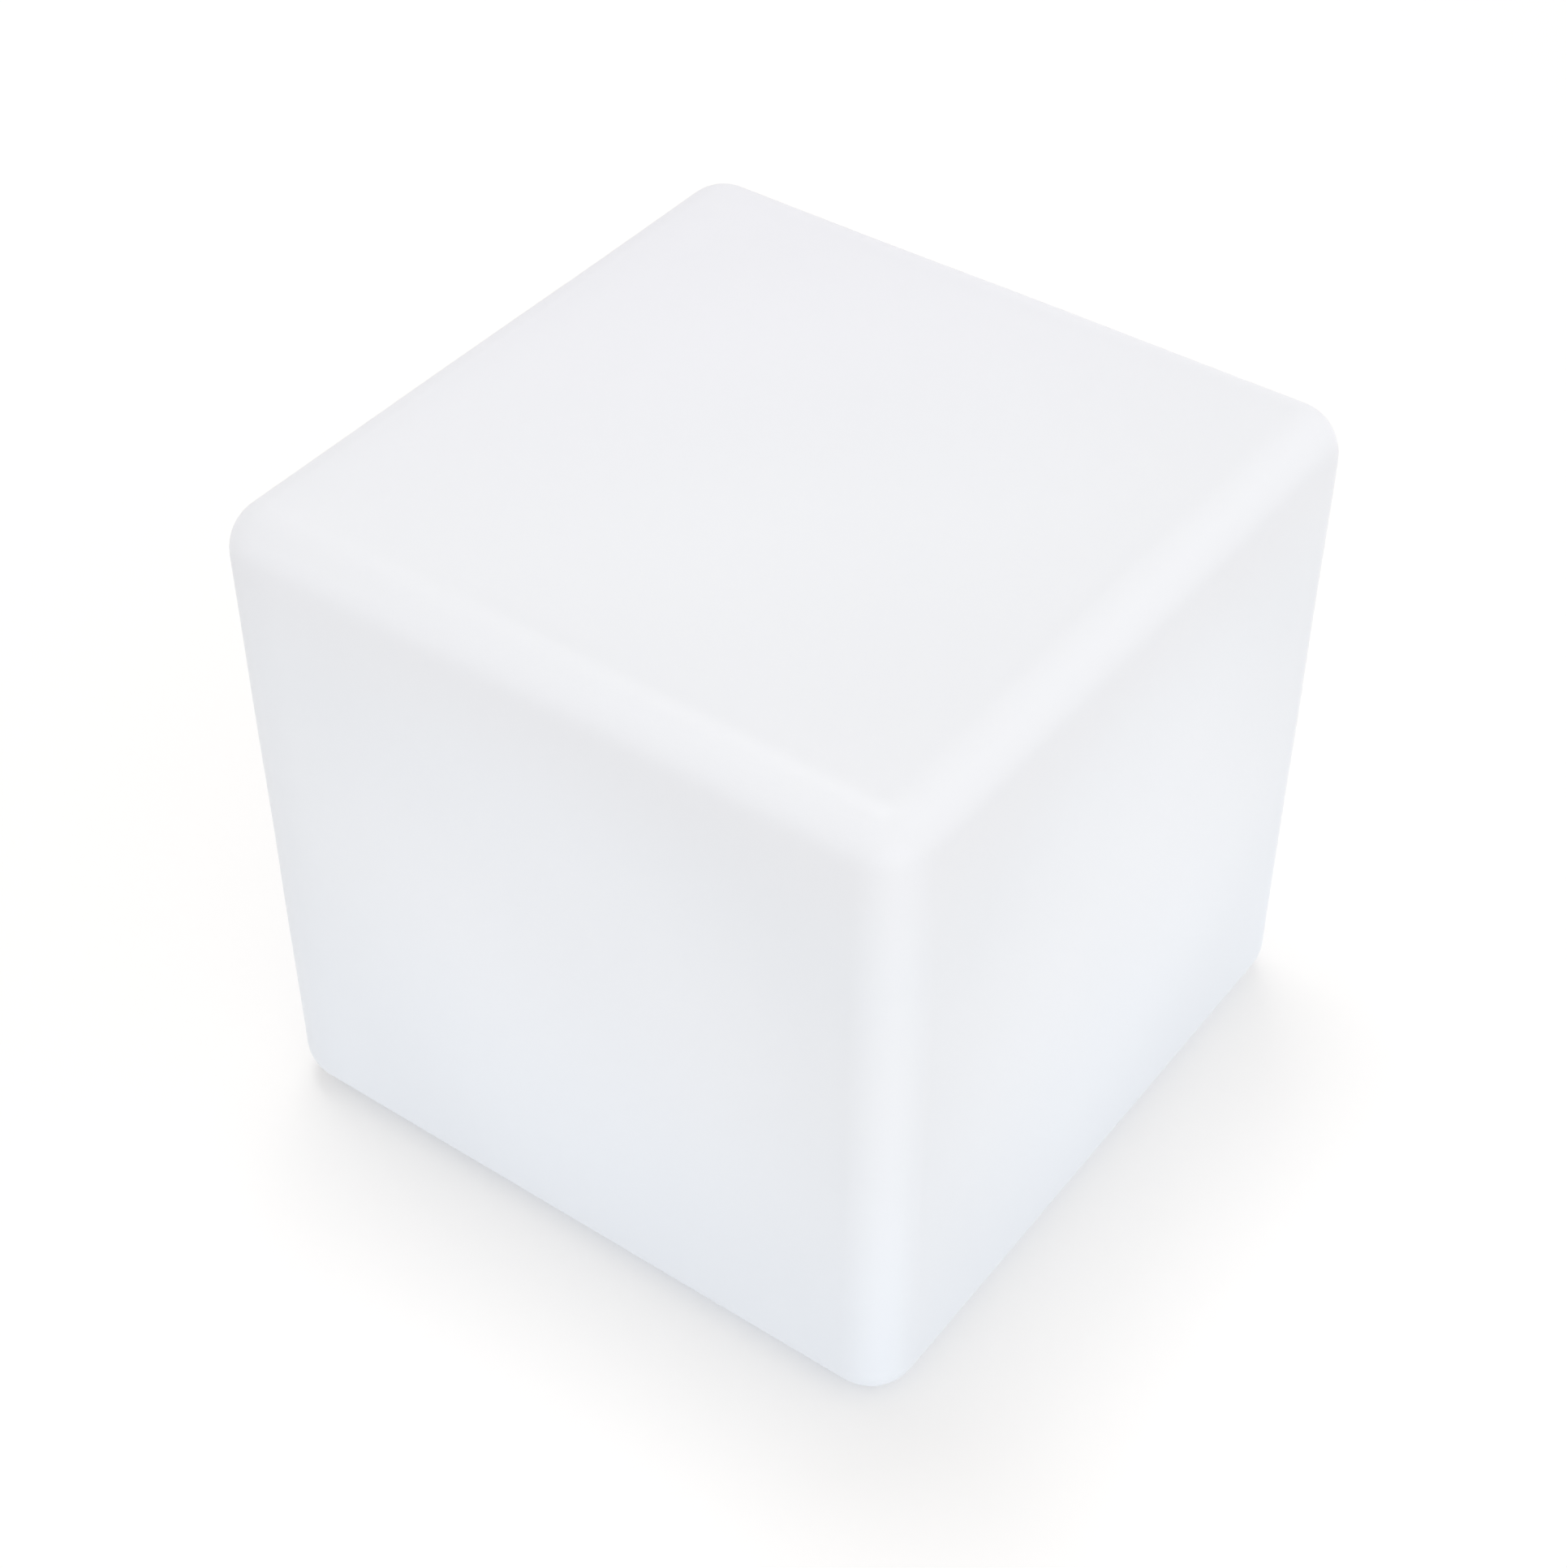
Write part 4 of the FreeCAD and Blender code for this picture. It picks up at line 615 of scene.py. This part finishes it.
def squareRings(half, corner, values):
    # rings on squares with rounded corners: a side at x = half, with y from -(half - corner) to
    # half - corner, then the arc half - corner + corner (cos t, sin t), and this quarter turned
    # three times
    along = np.arange(values["sidePoints"]) / values["sidePoints"]
    turn = np.arange(values["cornerPoints"]) / values["cornerPoints"] * (math.pi / 2)
    half = np.asarray(half, dtype=float)[:, None]
    corner = np.asarray(corner, dtype=float)[:, None]
    flat = half - corner
    x = np.concatenate([half + 0 * along, flat + corner * np.cos(turn)], axis=1)
    y = np.concatenate([flat * (2 * along - 1), flat + corner * np.sin(turn)], axis=1)
    quarters = (x, y), (-y, x), (-x, -y), (y, -x)
    return np.concatenate([np.stack(quarter, axis=-1) for quarter in quarters], axis=1)


def circleRings(radius, bearing):
    # rings radius (cos b, sin b), at the bearings b that the square rings' points have
    radius = np.asarray(radius, dtype=float)[:, None]
    return np.stack([radius * np.cos(bearing), radius * np.sin(bearing)], axis=-1)


def atHeight(rings, height):
    # the flat rings (x, y), each at its own height
    height = np.broadcast_to(np.asarray(height, dtype=float)[:, None], rings.shape[:2])
    return np.concatenate([rings, height[..., None]], axis=-1)


def arc(centreU, centreV, radius, fromDegrees, toDegrees, count):
    # points centre + radius (cos a, sin a) in the profile's plane, in even steps, with both ends
    angle = np.radians(np.linspace(fromDegrees, toDegrees, count))
    return centreU + radius * np.cos(angle), centreV + radius * np.sin(angle)


def between(first, last, count):
    # even steps from first to last, without the two ends
    return np.linspace(first, last, count + 2)[1:-1]


def reliefProfile(values, counts, inset):
    # from the lifted base down to the stand ring: outside an arc and a lip that touch on the line
    # between their centres, inside one arc round the first centre, down to the ring's inner face
    inner, lip = values["reliefInnerRound"], values["reliefLipRound"]
    centreU = values["width"] / 2 - values["edgeRadius"] - values["standLand"] - inner
    centreV = values["reliefDepth"] - inner
    if inset > 0:
        foot = math.degrees(math.asin((inset - centreV) / (inner + inset)))
        return arc(centreU, centreV, inner + inset, 90, foot, counts["relief"])
    rise = lip - centreV
    run = math.sqrt((inner + lip) ** 2 - rise ** 2)
    meet = math.degrees(math.atan2(rise, run))
    innerU, innerV = arc(centreU, centreV, inner, 90, meet, counts["relief"])
    lipU, lipV = arc(centreU + run, lip, lip, 180 + meet, 270, counts["relief"])
    return np.concatenate([innerU, lipU[1:]]), np.concatenate([innerV, lipV[1:]])


def skinRings(values, counts, inset, seatLevel):
    # one side of the wall, from the opening outwards: seat, roof arc, flared pocket wall, mouth
    # arc, lifted base, relief, stand ring, lower edge, walls, upper edge. The inset moves it into
    # the cube: an arc that bulges out is smaller by it, and one that bulges in is larger
    edge, depth = values["edgeRadius"], values["reliefDepth"]
    flatHalf = values["width"] / 2 - edge
    reliefU, reliefV = reliefProfile(values, counts, inset)
    cornerShift = values["reliefCorner"] - (flatHalf - values["standLand"])
    relief = squareRings(reliefU, reliefU + cornerShift, values)
    bearing = np.arctan2(relief[0, :, 1], relief[0, :, 0])

    topRadius, mouthRound = values["pocketRadius"], values["pocketLipRound"]
    footRadius = topRadius + values["pocketFlare"]
    roofRound = values["pocketRoofRound"] + inset
    roofU, roofV = arc(topRadius - values["pocketRoofRound"], seatLevel - roofRound, roofRound,
                       90, 0, counts["roof"])
    mouthU, mouthV = arc(footRadius + mouthRound, depth + mouthRound, mouthRound - inset,
                         180, 270, counts["mouth"])
    seatU = np.linspace(values["openingRadius"], roofU[0], counts["seat"], endpoint=False)
    wallU = between(topRadius, footRadius, counts["pocket"])
    wallV = between(roofV[-1], mouthV[0], counts["pocket"])
    pocket = circleRings(np.concatenate([seatU, roofU, wallU, mouthU]), bearing)
    pocketV = np.concatenate([np.full(counts["seat"], seatLevel), roofV, wallV, mouthV])

    # the lifted base runs from the pocket's round mouth to the relief's square edge
    share = between(0, 1, counts["base"])[:, None, None]
    base = pocket[-1:] * (1 - share) + relief[:1] * share
    landU = between(reliefU[-1], flatHalf, counts["land"])
    landCorner = between(reliefU[-1] + cornerShift, 0.0, counts["land"])
    lowU, lowV = arc(flatHalf, edge, edge - inset, 270, 360, counts["edge"])
    highU, highV = arc(flatHalf, values["height"] - edge, edge - inset, 0, 90, counts["edge"])
    sideU = np.concatenate([lowU, np.full(counts["wall"], lowU[-1]), highU])
    sideV = np.concatenate([lowV, between(edge, values["height"] - edge, counts["wall"]), highV])
    return np.concatenate([
        atHeight(pocket, pocketV),
        atHeight(base, np.full(counts["base"], depth + inset)),
        atHeight(relief, reliefV),
        atHeight(squareRings(landU, landCorner, values), np.full(counts["land"], inset)),
        atHeight(squareRings(sideU, sideU - flatHalf, values), sideV)])


def lidPatch(values, height):
    # a grid in even steps of x and y at one height; its border has the last ring's points
    flatHalf = values["width"] / 2 - values["edgeRadius"]
    step = np.linspace(-flatHalf, flatHalf, values["sidePoints"] + 1)
    gridX, gridY = np.meshgrid(step, step, indexing="ij")
    return np.stack([gridX, gridY, np.full_like(gridX, height)], axis=-1)


def unevenness(points, values):
    # moves each point along its outward direction: inwards by the sink times 1 - (x / flat)^2 for
    # each axis of its face, and by the wave, sine times sine plus a third sine, less the wave's
    # highest value. Both fade out, squared, towards the foot
    edge = values["edgeRadius"]
    half = np.array([values["width"] / 2, values["width"] / 2, values["height"] / 2])
    flat = half - edge
    local = points - np.array([0.0, 0.0, half[2]])
    outward = local - np.clip(local, -flat, flat)
    size = np.linalg.norm(outward, axis=-1, keepdims=True)
    outward = np.divide(outward, size, out=np.zeros_like(outward), where=size > values["tiny"])
    onFace = np.max(np.abs(outward), axis=-1) > values["squareOn"]
    dome = np.prod(np.where(np.abs(local) < flat, 1 - (local / flat) ** 2, 1.0), axis=-1)
    phase = points @ np.array(values["waves"], dtype=float).T + values["waveShifts"]
    first, second, third = np.moveaxis(np.sin(phase), -1, 0)
    wave = first * second + values["thirdWave"] * third - (1 + values["thirdWave"])
    push = values["waviness"] * wave - values["faceSink"] * dome * onFace
    keepFoot = np.clip((points[..., 2] - edge / 2) / edge, 0, 1) ** 2
    return points + outward * (push * keepFoot)[..., None]


def gridFaces(rows, columns, first, closed):
    # quads between neighbouring rows of a grid; a closed grid joins its last column to its first
    a = np.arange(rows - 1)[:, None] * columns
    b = np.arange(columns if closed else columns - 1)[None, :]
    c = (b + 1) % columns
    quads = np.stack([a + b, a + c, a + columns + c, a + columns + b], axis=-1)
    return quads.reshape(-1, 4) + first


def closeSeams(mesh, values):
    # merges the points that meet at corners and along the lid, then turns every face outwards
    work = bmesh.new()
    work.from_mesh(mesh)
    bmesh.ops.remove_doubles(work, verts=work.verts, dist=values["mergeWithin"])
    bmesh.ops.dissolve_degenerate(work, dist=values["dropBelow"], edges=work.edges)
    bmesh.ops.recalc_face_normals(work, faces=work.faces)
    work.to_mesh(mesh)
    work.free()
    mesh.polygons.foreach_set("use_smooth", np.ones(len(mesh.polygons), dtype=bool))
    mesh.update()


def newPiece(name, points, faces, sharpAngle, finish):
    mesh = bpy.data.meshes.new(name)
    mesh.from_pydata(points.reshape(-1, 3).tolist(), [], faces)
    piece = bpy.data.objects.new(name, mesh)
    scene.collection.objects.link(piece)
    closeSeams(mesh, seamValues)
    mesh.set_sharp_from_angle(angle=math.radians(sharpAngle))
    mesh.materials.append(materials[finish])
    return piece


def buildShell(values):
    # one skin: down the inner side of the wall, through the edge of the opening and up the outer
    # side, with a lid on both
    outside = unevenness(skinRings(values, outerCounts, 0.0, values["seatHeight"]), values)
    inside = skinRings(values, innerCounts, values["wall"], values["shoulderTop"])
    lids = [unevenness(lidPatch(values, values["height"]), values),
            lidPatch(values, values["height"] - values["wall"])]
    rings = np.concatenate([inside[::-1], outside])
    points = np.concatenate([part.reshape(-1, 3) for part in (rings, *lids)])
    ringCount, columns = rings.shape[:2]
    side = values["sidePoints"] + 1
    faces = np.concatenate([gridFaces(ringCount, columns, 0, True),
                            gridFaces(side, side, ringCount * columns, False),
                            gridFaces(side, side, ringCount * columns + side * side, False)])
    return newPiece("cubeShell", points, faces.tolist(), values["sharpAngle"], "milkyPolyethylene")


cubeShell = buildShell(shellValues)
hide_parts("shell", "shell_base")
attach(cubeShell, rootBody)
print("cube built:", len(cubeShell.data.polygons), "faces")


springValues = {
    "wireRadius": 0.0002,
    "turns": 3,
    "turnPoints": 36,
    "wirePoints": 12,
    "travel": 0.001,            # the button's way, which the spring loses in height
    "sharpAngle": 50.0,
}


def buildSpring(values, low, high):
    # a wire helix: round each point of the line (r cos t, r sin t, climb t) lies a ring,
    # wire (cos s outward + sin s across), in the plane across the line
    wire, ringPoints = values["wireRadius"], values["wirePoints"]
    radius = (high[0] - low[0]) / 2 - wire
    turns = values["turns"]
    angle = np.linspace(0, turns * 2 * math.pi, turns * values["turnPoints"] + 1)
    height = np.linspace(low[2] + wire, high[2] - wire, len(angle))
    climb = (height[-1] - height[0]) / angle[-1]
    cosine, sine, flat = np.cos(angle), np.sin(angle), np.zeros_like(angle)
    line = np.stack([high[0] - wire - radius + radius * cosine,
                     (low[1] + high[1]) / 2 + radius * sine, height], axis=-1)
    outward = np.stack([cosine, sine, flat], axis=-1)
    along = np.stack([-radius * sine, radius * cosine, flat + climb], axis=-1)
    across = np.cross(along / np.linalg.norm(along, axis=1, keepdims=True), outward)
    turn = np.arange(ringPoints) / ringPoints * 2 * math.pi
    points = line[:, None] + wire * (np.cos(turn)[:, None] * outward[:, None]
                                     + np.sin(turn)[:, None] * across[:, None])
    endRing = np.arange(ringPoints)
    ends = [endRing.tolist(), (endRing + (len(angle) - 1) * ringPoints).tolist()]
    faces = gridFaces(len(angle), ringPoints, 0, True).tolist() + ends
    return newPiece("returnSpring", points, faces, values["sharpAngle"], "springWire")


springLow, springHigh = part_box("button_spring")
returnSpring = buildSpring(springValues, springLow, springHigh)
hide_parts("button_spring")
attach(returnSpring, rootBody)
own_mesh(returnSpring)
print("spring built:", len(returnSpring.data.polygons), "faces")


floorValues = {
    "size": 12.0,
    "hole": 0.166,              # half the hole that the stand ring hides; light comes up through it
    "drop": 0.0003,             # clear of the stand ring, so that the two faces don't coincide
    "colour": (0.88, 0.875, 0.87, 1),
    "seenColour": (0.975, 0.957, 0.938, 1),     # what camera and mirrors see
    "seenLift": 0.067,          # and how much it glows for them, so that open floor is plain white
}


def addSeen(tree):
    # 1 for rays from the camera, off gloss and through glass, 0 for the light that falls on things
    lightPath = tree.nodes.new("ShaderNodeLightPath")
    camera, glossy, through = (lightPath.outputs[name] for name in (
        "Is Camera Ray", "Is Glossy Ray", "Is Transmission Ray"))
    return addMath(tree, "MAXIMUM", addMath(tree, "MAXIMUM", camera, glossy), through)


def floorMaterial(name, values):
    # white where it's seen, and clear from below, so that the underside can be looked at
    material, tree, shader = newMaterial(name)[:3]
    seen = addSeen(tree)
    colour = addMix(tree, seen, values["colour"], values["seenColour"])
    lift = addMath(tree, "MULTIPLY", seen, values["seenLift"])
    feed(tree, shader.inputs["Base Color"], colour)
    feed(tree, shader.inputs["Emission Strength"], lift)
    shader.inputs["Emission Color"].default_value = (1.0, 1.0, 1.0, 1.0)
    shader.inputs["Roughness"].default_value = 1.0
    shader.inputs["Specular IOR Level"].default_value = 0.0
    geometry = tree.nodes.new("ShaderNodeNewGeometry")
    clear = tree.nodes.new("ShaderNodeBsdfTransparent")
    sides = tree.nodes.new("ShaderNodeMixShader")
    shown = geometry.outputs["Backfacing"], shader.outputs[0], clear.outputs[0]
    for socket, item in zip(sides.inputs, shown):
        feed(tree, socket, item)
    feed(tree, tree.nodes["Material Output"].inputs["Surface"], sides.outputs[0])
    return material


def buildFloor(values):
    # a square with a square hole: two rings of four corners, joined by four quads
    corners = np.array([(-1.0, -1.0), (1.0, -1.0), (1.0, 1.0), (-1.0, 1.0)])
    flat = np.concatenate([corners * values["size"] / 2, corners * values["hole"]])
    points = np.column_stack([flat, np.full(len(flat), -values["drop"])])
    mesh = bpy.data.meshes.new("floor")
    mesh.from_pydata(points.tolist(), [], gridFaces(2, 4, 0, True).tolist())
    floor = bpy.data.objects.new("floor", mesh)
    scene.collection.objects.link(floor)
    mesh.materials.append(floorMaterial("floorWhite", values))


worldValues = {
    "colour": (0.985, 0.99, 1.0, 1),
    "strength": 0.78,
    "towardsX": 0.21,           # more light from the right and the front of the picture
    "towardsY": -0.12,
    "underSpan": (-0.12, -0.02),    # the direction's Z, from the light from below to full light
    "underShare": 0.5,
    "seenStrength": 1.0,
}


def buildWorld(values):
    world = bpy.data.worlds.new("studio")
    scene.world = world
    world.use_nodes = True
    tree = world.node_tree
    background = tree.nodes["Background"]
    background.inputs["Color"].default_value = values["colour"]
    coordinates = tree.nodes.new("ShaderNodeTexCoord")
    x, y, z = addSplit(tree, coordinates.outputs["Generated"])
    tilt = addBlend(tree, x, values["towardsX"], y, values["towardsY"])
    below = addRange(tree, z, values["underSpan"], values["underShare"], 1.0)
    given = addMath(tree, "MULTIPLY", addMath(tree, "ADD", tilt, values["strength"]), below)
    seen = addSeen(tree)
    strength = addRange(tree, seen, (0.0, 1.0), given, values["seenStrength"], smooth=False)
    feed(tree, background.inputs["Strength"], strength)


lamps = {                       # metres, watts; each lamp looks at the cube's centre
    "overheadSoftbox": {"place": (-0.86, 0.58, 5.0), "size": (1.8, 1.8), "power": 57.0,
                        "colour": (1.0, 1.0, 1.0)},
    "keySoftbox": {"place": (1.6, -1.3, 2.2), "size": (1.2, 1.2), "power": 1.0,
                   "colour": (1.0, 1.0, 1.0)},
    "rearSoftbox": {"place": (-1.2, 1.9, 1.9), "size": (1.4, 1.0), "power": 0.6,
                    "colour": (0.97, 0.985, 1.0)},
    "underSoftbox": {"place": (-1.3, 0.9, -1.0), "size": (0.4, 0.4), "power": 7.0,
                     "colour": (1.0, 1.0, 1.0)},
}


def addLamp(name, values):
    data = bpy.data.lights.new(name, "AREA")
    data.shape = "RECTANGLE"
    data.size, data.size_y = values["size"]
    data.energy = values["power"]
    data.color = values["colour"]
    lamp = bpy.data.objects.new(name, data)
    place = Vector(values["place"])
    aim = (cubeCentre - place).to_track_quat("-Z", "Y")
    lamp.matrix_world = Matrix.Translation(place) @ aim.to_matrix().to_4x4()
    scene.collection.objects.link(lamp)


buildFloor(floorValues)
buildWorld(worldValues)
for lampName, lampValues in lamps.items():
    addLamp(lampName, lampValues)
print("floor and light placed")
